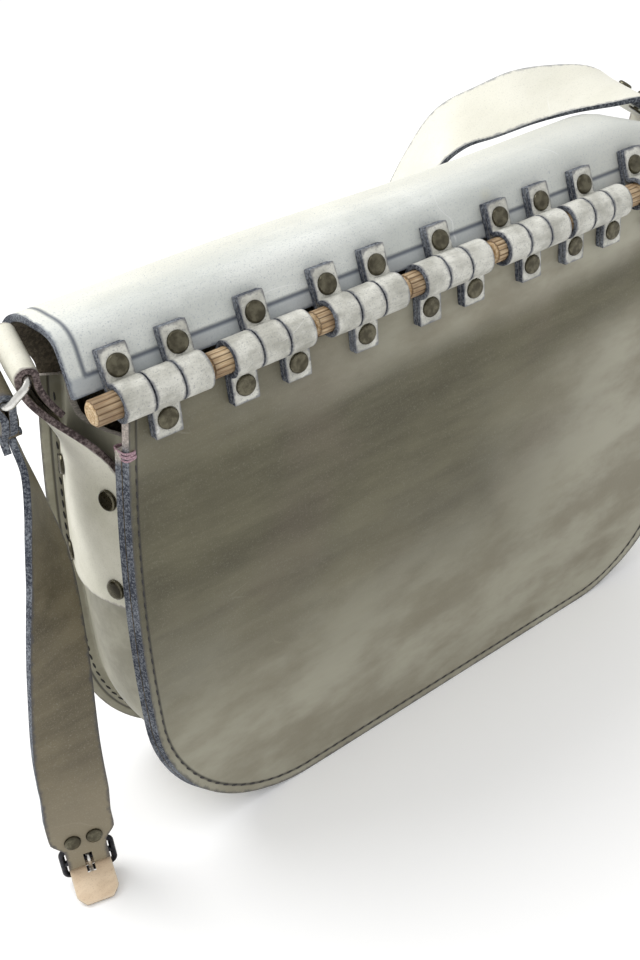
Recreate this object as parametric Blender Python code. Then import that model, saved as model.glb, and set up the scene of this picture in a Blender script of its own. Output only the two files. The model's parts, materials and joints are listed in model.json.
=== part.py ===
"""Leather shoulder bag whose flap is closed by a row of riveted loops and wooden dowels.

The bag stands on the lower edges of its front and back panels. X runs along the closure,
towards the wearer's right as the photograph shows the front, Y to the back, Z up. The
origin is the middle of the front panel's lower edge. Lengths are in metres.
"""

import math

import bmesh
import bpy
from mathutils import Matrix, Vector

MM = 0.001

# Leather
PANEL_T = 3.5 * MM
LOOP_T = 2.6 * MM
STRAP_T = 3.3 * MM
SKIVED_T = 2.2 * MM
TONGUE_T = 2.0 * MM
CLEAR = 0.3 * MM

# Body of the bag, measured on the middle planes of the panels
BAG_WIDTH = 389.0 * MM
BAG_DEPTH = 78.5 * MM
CORNER_R = 86.0 * MM
TOP_TAPER = 16.5 * MM
FRONT_TOP_Z = 252.5 * MM
SEAM_MARGIN = 9.0 * MM
SEAM_CURL = 2.8 * MM
SEAM_CURL_WIDTH = 12.0 * MM
GUSSET_BULGE = 8.0 * MM
GUSSET_FRONT_Z = 237.0 * MM
GUSSET_BACK_RISE = 9.0 * MM
GUSSET_FOLD_R = 3.5 * MM

# Flap, as the outer surface seen from the side
FLAP_WIDTH = 391.0 * MM
FLAP_EDGE_Y = 3.75 * MM
FLAP_EDGE_Z = 265.7 * MM
FLAP_LEAN = math.radians(16.3)
FLAP_STRAIGHT = 19.0 * MM
CREST_Z = 293.5 * MM
CREST_BACK_R = 45.0 * MM
CREST_SAG = 15.0 * MM
CREST_SAG_FROM_X = 150.0 * MM

# Closure
HINGE_Y = -5.75 * MM
HINGE_Z = 262.0 * MM
LOOP_COUNT = 21
LOOPS_PER_DOWEL = 3
LOOP_WIDTH = 14.0 * MM
LOOP_GAP = 0.6 * MM
GROUP_GAP = 11.6 * MM
NARROW_GAP = 3.6 * MM
NARROW_GAP_AFTER = 15
LOOP_FILLET = 2.0 * MM
LOOP_TAIL = 23.0 * MM
LOOP_RIVET_AT = 14.5 * MM
DOWEL_D = 12.0 * MM
DOWEL_LENGTH = 54.3 * MM
DOWEL_OVERHANG = 9.0 * MM
DOWEL_CHAMFER = 1.6 * MM
FLUTES = 14
FLUTE_DEPTH = 0.55 * MM

# Rivets
CAP_R = 5.2 * MM
CAP_H = 1.7 * MM
SHANK_R = 1.5 * MM
BACK_CAP_R = 4.3 * MM
BACK_CAP_H = 1.2 * MM
STRAP_CAP_R = 4.2 * MM
RIVET_SIDES = 8

# Anchors: the house-shaped pieces on the sides
ANCHOR_WIDTH = 58.0 * MM
ANCHOR_BOTTOM_Z = 148.0 * MM
ANCHOR_SHOULDER_Z = 214.0 * MM
ANCHOR_RIVET_Z = (158.0 * MM, 205.0 * MM)
ANCHOR_RIVET_INSET = 8.0 * MM
ANCHOR_CLEAR = 0.45 * MM
LEFT_FOLD = Vector((-204.2 * MM, 35.45 * MM, 278.75 * MM))
LEFT_FOLD_AXIS = Vector((0.17, 0.93, 0.27))
RIGHT_FOLD = Vector((217.5 * MM, 45.0 * MM, 274.0 * MM))
RIGHT_FOLD_AXIS = Vector((0.14, 0.96, 0.19))
STRAP_WIDTH = 33.0 * MM

# Rings
RING_WIRE_D = 3.6 * MM
RING_LENGTH = 15.5 * MM
RING_INNER_WIDTH = 36.0 * MM
RING_CORNER_R = 4.0 * MM
LEFT_RING_DROP = math.radians(45.0)
RIGHT_RING_DROP = math.radians(-141.0)

# Short strap and buckle
SHORT_RETURN = 36.0 * MM
BUCKLE_AT = Vector((-237.0 * MM, 15.25 * MM, 13.5 * MM))
BUCKLE_TURN = math.radians(-16.0)
BUCKLE_WIRE_D = 3.0 * MM
BUCKLE_WIDTH = 28.5 * MM
BUCKLE_REACH = 8.6 * MM
BUCKLE_NECK = 21.0 * MM
BUCKLE_SLOT_WIDTH = 4.4 * MM
BUCKLE_SLOT_UP = 6.5 * MM
BUCKLE_RIVET_UP = 17.0 * MM
BUCKLE_RIVET_SPACING = 11.0 * MM
STRAP_RETURN_UP = 60.0 * MM
PRONG_D = 2.2 * MM
TONGUE_WIDTH = 21.5 * MM
TONGUE_FRONT = 19.5 * MM
TONGUE_CHAMFER = 4.0 * MM

# Long strap
LONG_RETURN = 22.0 * MM
HOLE_R = 2.2 * MM
HOLE_COUNT = 5
HOLE_PITCH = 17.0 * MM
HOLE_FROM_END = 24.0 * MM

# Routes, as centre points with the direction across the strap, in millimetres
RING_LEAD = 24.0 * MM
RING_RIVET_AT = 16.0 * MM
SHORT_AIM = Vector((-0.04, 0.25, -0.96))
SHORT_ROUTE = (
    ((-213.9, 47.0, 226.0), (0.22, 0.95, 0.10)),
    ((-217.0, 41.0, 204.0), (0.40, 0.91, -0.02)),
    ((-222.5, 28.0, 176.0), (0.68, 0.72, 0.0)),
    ((-229.5, 14.5, 132.0), (0.99, 0.14, 0.0)),
    ((-234.0, 12.5, 90.0), (1.0, -0.09, 0.0)),
    ((-236.0, 12.5, 58.0), (0.97, -0.24, 0.0)),
)
LONG_AIM = Vector((-0.83, 0.12, 0.53))
LONG_ROUTE = (
    ((173.0, 49.0, 303.0), (0.24, 0.88, 0.40)),
    ((156.5, 59.5, 304.3), (0.29, 0.77, 0.57)),
    ((135.5, 72.6, 302.4), (0.12, 0.70, 0.70)),
    ((121.6, 87.4, 295.5), (0.12, 0.75, 0.65)),
    ((104.3, 99.5, 288.2), (0.14, 0.88, 0.46)),
    ((88.0, 107.0, 272.0), (0.16, 0.96, 0.10)),
    ((72.0, 112.0, 246.0), (0.10, 0.99, 0.05)),
    ((48.0, 115.0, 206.0), (0.0, 1.0, 0.0)),
    ((30.0, 115.0, 152.0), (0.0, 1.0, 0.0)),
    ((15.0, 115.0, 92.0), (0.0, 1.0, 0.0)),
    ((-6.0, 115.0, 38.0), (0.0, 1.0, 0.0)),
    ((-34.0, 115.0, 10.5), (0.0, 1.0, 0.0)),
    ((-66.0, 115.0, 2.4), (0.0, 1.0, 0.0)),
    ((-100.0, 115.0, 1.9), (0.0, 1.0, 0.0)),
    ((-140.0, 115.0, 1.9), (0.0, 1.0, 0.0)),
)

UP = Vector((0.0, 0.0, 1.0))


# Scene and materials

def clear_scene():
    """Remove every object."""
    for obj in list(bpy.data.objects):
        bpy.data.objects.remove(obj, do_unlink=True)


def finish(name, color, roughness, metallic=0.0):
    """Return a material with one plain finish."""
    material = bpy.data.materials.new(name)
    material.use_nodes = True
    shader = material.node_tree.nodes["Principled BSDF"]
    shader.inputs["Base Color"].default_value = (*color, 1.0)
    shader.inputs["Roughness"].default_value = roughness
    shader.inputs["Metallic"].default_value = metallic
    return material


LEATHER_FRONT = (0.21, 0.20, 0.16)
LEATHER_PALE = (0.56, 0.56, 0.52)
LEATHER_CREAM = (0.66, 0.62, 0.50)
LEATHER_TAN = (0.60, 0.43, 0.30)
WOOD = (0.72, 0.52, 0.30)
NICKEL = (0.72, 0.70, 0.66)
BRASS_DARK = (0.11, 0.10, 0.08)
IRON_BLACK = (0.03, 0.03, 0.035)


# Mesh helpers

def link_object(name, mesh, material, location=(0.0, 0.0, 0.0), rotation=(0.0, 0.0, 0.0)):
    """Put a mesh in the scene as one named object with its own material."""
    obj = bpy.data.objects.new(name, mesh)
    obj.location = location
    obj.rotation_euler = rotation
    bpy.context.scene.collection.objects.link(obj)
    if not mesh.materials:
        mesh.materials.append(material)
    return obj


def closed_mesh(name, verts, faces, smooth_angle=40.0):
    """Make a mesh whose faces point outwards, smooth up to an angle."""
    bm = bmesh.new()
    made = [bm.verts.new(v) for v in verts]
    for face in faces:
        bm.faces.new([made[i] for i in face])
    bmesh.ops.recalc_face_normals(bm, faces=bm.faces)
    mesh = bpy.data.meshes.new(name)
    bm.to_mesh(mesh)
    bm.free()
    mesh.shade_smooth()
    mesh.set_sharp_from_angle(angle=math.radians(smooth_angle))
    return mesh


def grid_normals(grid):
    """Unit normals of a grid of points, from its neighbours."""
    rows, cols = len(grid), len(grid[0])
    normals = []
    for i in range(rows):
        line = []
        for j in range(cols):
            along = grid[min(i + 1, rows - 1)][j] - grid[max(i - 1, 0)][j]
            across = grid[i][min(j + 1, cols - 1)] - grid[i][max(j - 1, 0)]
            line.append(along.cross(across).normalized())
        normals.append(line)
    return normals


def sheet_mesh(name, grid, thickness):
    """Close a sheet round its middle surface. thickness is one value or one for each row."""
    rows, cols = len(grid), len(grid[0])
    depth = thickness if isinstance(thickness, (list, tuple)) else [thickness] * rows
    normals = grid_normals(grid)
    verts = []
    for side in (0.5, -0.5):
        for i in range(rows):
            for j in range(cols):
                verts.append(grid[i][j] + normals[i][j] * depth[i] * side)
    count = rows * cols

    def at(i, j, side=0):
        return side * count + i * cols + j

    faces = []
    for i in range(rows - 1):
        for j in range(cols - 1):
            faces.append((at(i, j), at(i + 1, j), at(i + 1, j + 1), at(i, j + 1)))
            faces.append((at(i, j, 1), at(i, j + 1, 1), at(i + 1, j + 1, 1), at(i + 1, j, 1)))
    for i in range(rows - 1):
        for j in (0, cols - 1):
            faces.append((at(i, j), at(i, j, 1), at(i + 1, j, 1), at(i + 1, j)))
    for j in range(cols - 1):
        for i in (0, rows - 1):
            faces.append((at(i, j), at(i, j + 1), at(i, j + 1, 1), at(i, j, 1)))
    return closed_mesh(name, verts, faces)


def turned_mesh(name, profile, segments=10, smooth_angle=40.0):
    """Turn a profile of (radius, height) points, from one pole to the other, about Z."""
    verts = [Vector((0.0, 0.0, profile[0][1]))]
    for radius, height in profile[1:-1]:
        for k in range(segments):
            turn = 2.0 * math.pi * k / segments
            verts.append(Vector((radius * math.cos(turn), radius * math.sin(turn), height)))
    verts.append(Vector((0.0, 0.0, profile[-1][1])))
    rings = len(profile) - 2
    last = len(verts) - 1
    faces = []
    for k in range(segments):
        after = (k + 1) % segments
        faces.append((0, 1 + k, 1 + after))
        for r in range(rings - 1):
            low, high = 1 + r * segments, 1 + (r + 1) * segments
            faces.append((low + k, high + k, high + after, low + after))
        base = 1 + (rings - 1) * segments
        faces.append((last, base + after, base + k))
    return closed_mesh(name, verts, faces, smooth_angle)


def tube_mesh(name, path, radius, sides=7):
    """A round wire along a closed path that lies in the XY plane."""
    verts = []
    count = len(path)
    for i, point in enumerate(path):
        along = (path[(i + 1) % count] - path[i - 1]).normalized()
        side = along.cross(UP)
        for k in range(sides):
            turn = 2.0 * math.pi * k / sides
            verts.append(point + side * radius * math.cos(turn) + UP * radius * math.sin(turn))
    faces = []
    for i in range(count):
        here, there = i * sides, ((i + 1) % count) * sides
        for k in range(sides):
            after = (k + 1) % sides
            faces.append((here + k, there + k, there + after, here + after))
    return closed_mesh(name, verts, faces)


def rounded_frame_path(width, length, corner):
    """Closed rectangle with round corners, its middle at the origin."""
    path = []
    for quarter, (sx, sy) in enumerate(((1, 1), (-1, 1), (-1, -1), (1, -1))):
        centre = Vector((sx * (width / 2 - corner), sy * (length / 2 - corner), 0.0))
        for step in range(5):
            turn = math.pi / 2 * (quarter + step / 4)
            path.append(centre + Vector((math.cos(turn), math.sin(turn), 0.0)) * corner)
    return path


def cutter(name, mesh, location=(0.0, 0.0, 0.0), matrix=None):
    """A hidden object that only cuts."""
    obj = bpy.data.objects.new(name, mesh)
    if matrix is None:
        obj.location = location
    else:
        obj.matrix_world = matrix
    obj.hide_render = True
    obj.display_type = 'WIRE'
    bpy.context.scene.collection.objects.link(obj)
    return obj


def boolean(obj, tool, operation='DIFFERENCE'):
    """Add an exact Boolean with one tool."""
    modifier = obj.modifiers.new(tool.name, 'BOOLEAN')
    modifier.operation = operation
    modifier.solver = 'EXACT'
    modifier.object = tool


def cylinder_mesh(name, radius, length, segments=12):
    """A plain closed cylinder about Z, its middle at the origin."""
    half = length / 2
    return turned_mesh(name, ((0, half), (radius, half), (radius, -half), (0, -half)), segments)


def frame_matrix(origin, x_axis, z_axis):
    """Matrix of a frame from its origin, its X axis and its Z axis."""
    y_axis = z_axis.cross(x_axis)
    columns = (x_axis, y_axis, z_axis)
    turned = Matrix([[axis[row] for axis in columns] for row in range(3)]).to_4x4()
    return Matrix.Translation(origin) @ turned


def rivet_mesh(name, grip, cap_radius):
    """A domed rivet along Z. The cap's seat is at z = 0 and the shank is as long as its grip."""
    profile = (
        (0.0, CAP_H),
        (cap_radius * 0.65, CAP_H * 0.75),
        (cap_radius, 0.0),
        (SHANK_R, 0.0),
        (SHANK_R, -grip),
        (BACK_CAP_R, -grip),
        (BACK_CAP_R * 0.8, -grip - BACK_CAP_H),
        (0.0, -grip - BACK_CAP_H),
    )
    return turned_mesh(name, profile, RIVET_SIDES)


# Outline of the panels

def smoothstep(low, high, value):
    """0 below low, 1 above high and smooth between."""
    t = min(max((value - low) / (high - low), 0.0), 1.0)
    return t * t * (3.0 - 2.0 * t)


def half_width(z):
    """Half the width of a panel at a height."""
    if z >= CORNER_R:
        rise = (z - CORNER_R) / (FRONT_TOP_Z - CORNER_R)
        return BAG_WIDTH / 2 - TOP_TAPER * rise * rise
    drop = CORNER_R - max(z, 0.0)
    return BAG_WIDTH / 2 - CORNER_R + math.sqrt(max(CORNER_R ** 2 - drop ** 2, 0.0))


def seam_curl(x, z):
    """How far the sewn margin turns away from the bag at a point of a panel, and its slope."""
    centre_x = BAG_WIDTH / 2 - CORNER_R
    if z < CORNER_R and abs(x) > centre_x:
        reach = math.hypot(abs(x) - centre_x, CORNER_R - z)
        inset = CORNER_R - reach
        sideways = (abs(x) - centre_x) / max(reach, 1e-6)
    elif z >= CORNER_R:
        inset = half_width(z) - abs(x)
        sideways = 1.0
    else:
        return 0.0, 0.0
    if inset >= SEAM_CURL_WIDTH:
        return 0.0, 0.0
    weight = smoothstep(0.3, 0.9, sideways)
    left = 1.0 - max(inset, 0.0) / SEAM_CURL_WIDTH
    return SEAM_CURL * weight * left ** 2, 2.0 * SEAM_CURL * weight * left / SEAM_CURL_WIDTH


def outline_heights(top, corner_steps=7, side_steps=4):
    """Heights of the rows of a panel: fine round the corner and coarse above it."""
    heights = [CORNER_R * (1.0 - math.cos(math.pi / 2 * k / corner_steps))
               for k in range(corner_steps)]
    heights += [CORNER_R + (top - CORNER_R) * k / side_steps for k in range(side_steps + 1)]
    return heights


def across_points(half):
    """Offsets along X of the columns of a row: close together in the curled margins."""
    margin = [0.0, 3.0 * MM, 6.0 * MM, 9.0 * MM, SEAM_CURL_WIDTH]
    inner = half - SEAM_CURL_WIDTH
    left = [-half + step for step in margin]
    middle = [-inner + 2.0 * inner * k / 4 for k in range(1, 4)]
    return left + middle + [-x for x in reversed(left)]


# Closure

def loop_left_edges():
    """Left edge of each loop, numbered from 1."""
    edges = {}
    x = 0.0
    for number in range(1, LOOP_COUNT + 1):
        edges[number] = x
        x += LOOP_WIDTH
        if number == LOOP_COUNT:
            break
        if number % LOOPS_PER_DOWEL:
            x += LOOP_GAP
        elif number == NARROW_GAP_AFTER:
            x += NARROW_GAP
        else:
            x += GROUP_GAP
    return {number: edge - x / 2 for number, edge in edges.items()}


def is_flap_loop(number):
    """Odd loops are riveted to the flap and even ones to the front panel."""
    return number % 2 == 1


BORE_R = DOWEL_D / 2 + CLEAR
RING_R = BORE_R + LOOP_T / 2
SEAT = CLEAR / 2
FRONT_FACE_Y = -PANEL_T / 2


def flap_along():
    """Direction of the flap's straight edge zone, upwards."""
    return Vector((0.0, math.sin(FLAP_LEAN), math.cos(FLAP_LEAN)))


def flap_forward():
    """Outward normal of the flap's straight edge zone."""
    return Vector((0.0, -math.cos(FLAP_LEAN), math.sin(FLAP_LEAN)))


def hinge_centre(x=0.0):
    """Point of the dowels' axis."""
    return Vector((x, HINGE_Y, HINGE_Z))


def inner_tail_offset(on_flap):
    """Middle of a loop's inner tail, measured forward from the dowel's axis."""
    if on_flap:
        edge = Vector((0.0, FLAP_EDGE_Y, FLAP_EDGE_Z)) - hinge_centre()
        return edge.dot(flap_forward()) + SEAT + LOOP_T / 2
    return HINGE_Y - FRONT_FACE_Y + SEAT + LOOP_T / 2


def arc_points(centre, radius, first, last, steps):
    """Points of an arc, both ends included, with the outward direction at each."""
    points = []
    for k in range(steps + 1):
        turn = first + (last - first) * k / steps
        out = Vector((math.cos(turn), math.sin(turn)))
        points.append((Vector(centre) + out * radius, out))
    return points


def loop_outline(inner):
    """Closed side outline of a loop, as (forward, along) points about the dowel's axis."""
    outer = inner + LOOP_T + SEAT
    inner_n = inner - LOOP_FILLET
    outer_n = outer + LOOP_FILLET
    inner_s = math.sqrt((RING_R + LOOP_FILLET) ** 2 - inner_n ** 2)
    outer_s = math.sqrt((RING_R + LOOP_FILLET) ** 2 - outer_n ** 2)
    ring_start = math.atan2(inner_s, inner_n)
    ring_end = 2.0 * math.pi + math.atan2(outer_s, outer_n)
    back = Vector((-1.0, 0.0))
    front = Vector((1.0, 0.0))
    path = [(Vector((inner, LOOP_TAIL)), back)]
    path += [(p, -out) for p, out in
             arc_points((inner_n, inner_s), LOOP_FILLET, 0.0, ring_start - math.pi, 2)]
    path += arc_points((0.0, 0.0), RING_R, ring_start, ring_end, 11)[1:-1]
    path += [(p, -out) for p, out in
             arc_points((outer_n, outer_s), LOOP_FILLET, ring_end - math.pi, math.pi, 2)]
    path.append((Vector((outer, LOOP_TAIL)), front))
    outside = [p + out * LOOP_T / 2 for p, out in path]
    inside = [p - out * LOOP_T / 2 for p, out in reversed(path)]
    return outside + inside


def prism_mesh(name, outline, width):
    """Extrude a (forward, along) outline by a width along X. Forward is -Y and along is Z."""
    verts = [Vector((side * width / 2, -p.x, p.y)) for side in (-1, 1) for p in outline]
    count = len(outline)
    faces = [tuple(range(count)), tuple(range(2 * count - 1, count - 1, -1))]
    for k in range(count):
        after = (k + 1) % count
        faces.append((k, after, count + after, count + k))
    return closed_mesh(name, verts, faces)


def baked(obj):
    """Return the evaluated mesh of an object as plain data, and drop the object."""
    bpy.context.view_layer.update()
    evaluated = obj.evaluated_get(bpy.context.evaluated_depsgraph_get())
    mesh = bpy.data.meshes.new_from_object(evaluated)
    bpy.data.objects.remove(obj, do_unlink=True)
    return mesh


def rivet_grip(stack):
    """Length of a shank through a stack of leather, with the room at both caps."""
    return stack + CLEAR


def loop_mesh(name, on_flap, material):
    """One loop with its rivet, in the frame of its dowel."""
    inner = inner_tail_offset(on_flap)
    face = inner + LOOP_T / 2 + SEAT + LOOP_T
    strip = link_object(name, prism_mesh(name, loop_outline(inner), LOOP_WIDTH), material)
    grip = face - inner + LOOP_T / 2 + SEAT + PANEL_T + CLEAR
    rivet = rivet_mesh(name + "_rivet", grip + SEAT, CAP_R)
    at = Vector((0.0, -face + SEAT / 2, LOOP_RIVET_AT))
    tool = cutter(name + "_rivet_tool", rivet, matrix=frame_matrix(at, Vector((1, 0, 0)), Vector((0, -1, 0))))
    boolean(strip, tool, 'UNION')
    mesh = baked(strip)
    bpy.data.objects.remove(tool, do_unlink=True)
    return mesh


def make_loops(leather):
    """The row of loops: odd ones hang from the flap and even ones stand on the front panel."""
    meshes = {on_flap: loop_mesh("loop_on_flap" if on_flap else "loop_on_panel", on_flap, leather)
              for on_flap in (True, False)}
    for number, edge in loop_left_edges().items():
        on_flap = is_flap_loop(number)
        turn = (-FLAP_LEAN, 0.0, 0.0) if on_flap else (0.0, math.pi, 0.0)
        link_object(f"loop_{number:02d}", meshes[on_flap], leather,
                    hinge_centre(edge + LOOP_WIDTH / 2), turn)


def loop_rivet_seat(number, edge):
    """Point and direction of a loop's rivet where it crosses the leather behind the loop."""
    x = edge + LOOP_WIDTH / 2
    if is_flap_loop(number):
        along, forward = flap_along(), flap_forward()
    else:
        along, forward = -UP, Vector((0.0, -1.0, 0.0))
    return hinge_centre(x) + along * LOOP_RIVET_AT, forward


def make_dowels(wood):
    """Fluted dowels, end to end through the loops, each with a chamfer at both ends."""
    start = loop_left_edges()[1] - DOWEL_OVERHANG
    count = LOOP_COUNT // LOOPS_PER_DOWEL
    body = DOWEL_LENGTH - CLEAR
    rings = ((-body / 2, DOWEL_CHAMFER), (-body / 2 + DOWEL_CHAMFER, 0.0),
             (body / 2 - DOWEL_CHAMFER, 0.0), (body / 2, DOWEL_CHAMFER))
    verts = []
    for x, shrink in rings:
        for k in range(2 * FLUTES):
            radius = DOWEL_D / 2 - shrink - (FLUTE_DEPTH if k % 2 else 0.0)
            turn = math.pi * k / FLUTES
            verts.append(Vector((x, radius * math.cos(turn), radius * math.sin(turn))))
    size = 2 * FLUTES
    faces = [tuple(range(size)), tuple(range(3 * size, 4 * size))]
    for r in range(len(rings) - 1):
        for k in range(size):
            after = (k + 1) % size
            faces.append((r * size + k, r * size + after, (r + 1) * size + after, (r + 1) * size + k))
    mesh = closed_mesh("dowel", verts, faces, 25.0)
    for number in range(count):
        x = start + DOWEL_LENGTH * (number + 0.5)
        link_object(f"dowel_{number + 1}", mesh, wood, hinge_centre(x))


# Panels

def pierce_for_loops(obj, on_flap):
    """Cut the holes of the loop rivets through a sheet."""
    hole = cylinder_mesh(obj.name + "_hole", SHANK_R + CLEAR, 34 * MM, 8)
    for number, edge in loop_left_edges().items():
        if is_flap_loop(number) == on_flap:
            seat, forward = loop_rivet_seat(number, edge)
            matrix = frame_matrix(seat, Vector((1.0, 0.0, 0.0)), forward)
            tool = cutter(f"{obj.name}_hole_{number:02d}", hole, matrix=matrix)
            boolean(obj, tool)


def make_front_panel(leather):
    """Front panel: flat, with round lower corners and margins that curl forward at the sides."""
    grid = []
    for z in outline_heights(FRONT_TOP_Z):
        grid.append([Vector((x, -seam_curl(x, z)[0], z)) for x in across_points(half_width(z))])
    panel = link_object("front_panel", sheet_mesh("front_panel", grid, PANEL_T), leather)
    pierce_for_loops(panel, False)
    return panel


def flap_profile():
    """Middle line of the flap over the top, from the back panel to the front edge."""
    half = PANEL_T / 2
    edge = Vector((0.0, FLAP_EDGE_Y, FLAP_EDGE_Z)) - flap_forward() * half
    straight_end = edge + flap_along() * FLAP_STRAIGHT
    back_r = CREST_BACK_R - half
    crest = Vector((0.0, BAG_DEPTH - back_r, CREST_Z - half))
    points = [crest + Vector((0.0, back_r * math.cos(turn), back_r * (math.sin(turn) - 1.0)))
              for turn in (math.pi / 2 * k / 6 for k in range(6))]
    pull = (crest - straight_end).length * 0.42
    handles = (crest, crest - Vector((0.0, pull, 0.0)), straight_end + flap_along() * pull,
               straight_end)
    for k in range(7):
        t = k / 6
        weights = ((1 - t) ** 3, 3 * t * (1 - t) ** 2, 3 * t * t * (1 - t), t ** 3)
        points.append(sum((h * w for h, w in zip(handles, weights)), Vector((0.0, 0.0, 0.0))))
    points.append(edge)
    return points


def make_back_and_flap(leather):
    """Back panel and flap: one sheet up the back, over the top and down to the loops."""
    over = flap_profile()
    shoulder_z = over[0].z
    grid = []
    for z in outline_heights(shoulder_z)[:-1]:
        grid.append([Vector((x, BAG_DEPTH + seam_curl(x, z)[0], z))
                     for x in across_points(half_width(z))])
    narrow = half_width(shoulder_z)
    widening = 3
    for k, point in enumerate(over):
        half = narrow + (FLAP_WIDTH / 2 - narrow) * smoothstep(0, widening, k)
        fade = 1.0 - smoothstep(0, widening, k)
        row = []
        for x in across_points(half):
            inset = max(SEAM_CURL_WIDTH - (half - abs(x)), 0.0) / SEAM_CURL_WIDTH
            curl = SEAM_CURL * fade * inset ** 2
            sag = CREST_SAG * smoothstep(CREST_SAG_FROM_X, FLAP_WIDTH / 2, x)
            sag *= math.sin(math.pi * min(k / (len(over) - 2), 1.0))
            row.append(Vector((x, point.y + curl, point.z - sag)))
        grid.append(row)
    sheet = link_object("back_and_flap", sheet_mesh("back_and_flap", grid, PANEL_T), leather)
    pierce_for_loops(sheet, True)
    return sheet


def outline_stations(steps=5):
    """Points, outward normals and heights along the seam, from the left top to the right top."""
    left = []
    for k in range(steps + 1):
        z = GUSSET_FRONT_Z + (CORNER_R - GUSSET_FRONT_Z) * k / steps
        slope = (half_width(z + MM) - half_width(z - MM)) / (2 * MM) if z > CORNER_R + MM else 0.0
        normal = Vector((-1.0, 0.0, -slope)).normalized()
        left.append((Vector((-half_width(z), 0.0, z)), normal))
    centre_x = BAG_WIDTH / 2 - CORNER_R
    for k in range(1, steps + 2):
        turn = math.pi / 2 * k / (steps + 1)
        normal = Vector((-math.cos(turn), 0.0, -math.sin(turn)))
        left.append((Vector((-centre_x, 0.0, CORNER_R)) + normal * CORNER_R, normal))
    right = [(Vector((-p.x, 0.0, p.z)), Vector((-n.x, 0.0, n.z))) for p, n in reversed(left)]
    return left + right


def bulge_at(z, share):
    """How far the gusset bellies outwards at a height, a share of the way to the back."""
    return GUSSET_BULGE * smoothstep(20 * MM, 110 * MM, z) * math.sin(math.pi * share)


FLANGE_Y = PANEL_T + 1.6 * CLEAR
WALL_INSET = SEAM_MARGIN + PANEL_T / 2
WALL_STEPS = 9


def gusset_section(point, normal):
    """Middle line of the gusset across the bag at one station of the seam."""
    front = []
    for inset in (0.0, 3.0 * MM, 6.0 * MM):
        place = point - normal * inset
        curl, slope = seam_curl(place.x, max(place.z, 0.0))
        angle = math.atan(slope)
        front.append((-inset + FLANGE_Y * math.sin(angle), -curl + FLANGE_Y * math.cos(angle)))
    for k in range(3):
        turn = math.pi / 2 * k / 2
        front.append((-WALL_INSET + GUSSET_FOLD_R * (1.0 - math.sin(turn)),
                      FLANGE_Y + GUSSET_FOLD_R * (1.0 - math.cos(turn))))
    wall_from, wall_to = front[-1][1], BAG_DEPTH - front[-1][1]
    wall = []
    for k in range(1, WALL_STEPS):
        share = k / WALL_STEPS
        wall.append((-WALL_INSET + bulge_at(point.z, share), wall_from + (wall_to - wall_from) * share))
    back = [(n, BAG_DEPTH - y) for n, y in reversed(front)]
    return front + wall + back


def make_gusset(leather):
    """U-shaped gusset for both sides and the bottom, with its margins turned outwards."""
    grid = []
    for point, normal in outline_stations():
        row = []
        high = smoothstep(CORNER_R, GUSSET_FRONT_Z, point.z)
        for n, y in gusset_section(point, normal):
            rise = GUSSET_BACK_RISE * high * smoothstep(0.5 * BAG_DEPTH, BAG_DEPTH, y)
            place = point + normal * n + Vector((0.0, y, rise))
            place.x *= half_width(point.z + rise) / half_width(point.z)
            row.append(place)
        grid.append(row)
    return link_object("gusset", sheet_mesh("gusset", grid, PANEL_T), leather)


# Anchors and rings

def fold_frame(side):
    """Point and axes of the fold round a ring on the left (-1) or the right (1)."""
    point = LEFT_FOLD if side < 0 else RIGHT_FOLD
    across = (LEFT_FOLD_AXIS if side < 0 else RIGHT_FOLD_AXIS).normalized()
    outward = Vector((side, 0.0, 0.0))
    outward = (outward - across * outward.dot(across)).normalized()
    upward = outward.cross(across)
    if upward.z < 0.0:
        upward = -upward
    return point, across, outward, upward


def wall_x(y, z):
    """Distance from the middle of the bag to the gusset's outer face."""
    inner_from = FLANGE_Y + GUSSET_FOLD_R
    share = (y - inner_from) / (BAG_DEPTH - 2 * inner_from)
    return half_width(z) - WALL_INSET + bulge_at(z, min(max(share, 0.0), 1.0)) + PANEL_T / 2


def hermite(p0, p1, d0, d1, t):
    """Point of a cubic curve from two points and two directions."""
    return (p0 * (2 * t ** 3 - 3 * t ** 2 + 1) + d0 * (t ** 3 - 2 * t ** 2 + t)
            + p1 * (3 * t ** 2 - 2 * t ** 3) + d1 * (t ** 3 - t ** 2))


ANCHOR_COLUMNS = 9
NECK_STEPS = 6
FOLD_R = RING_WIRE_D / 2 + CLEAR + STRAP_T / 2


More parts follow.
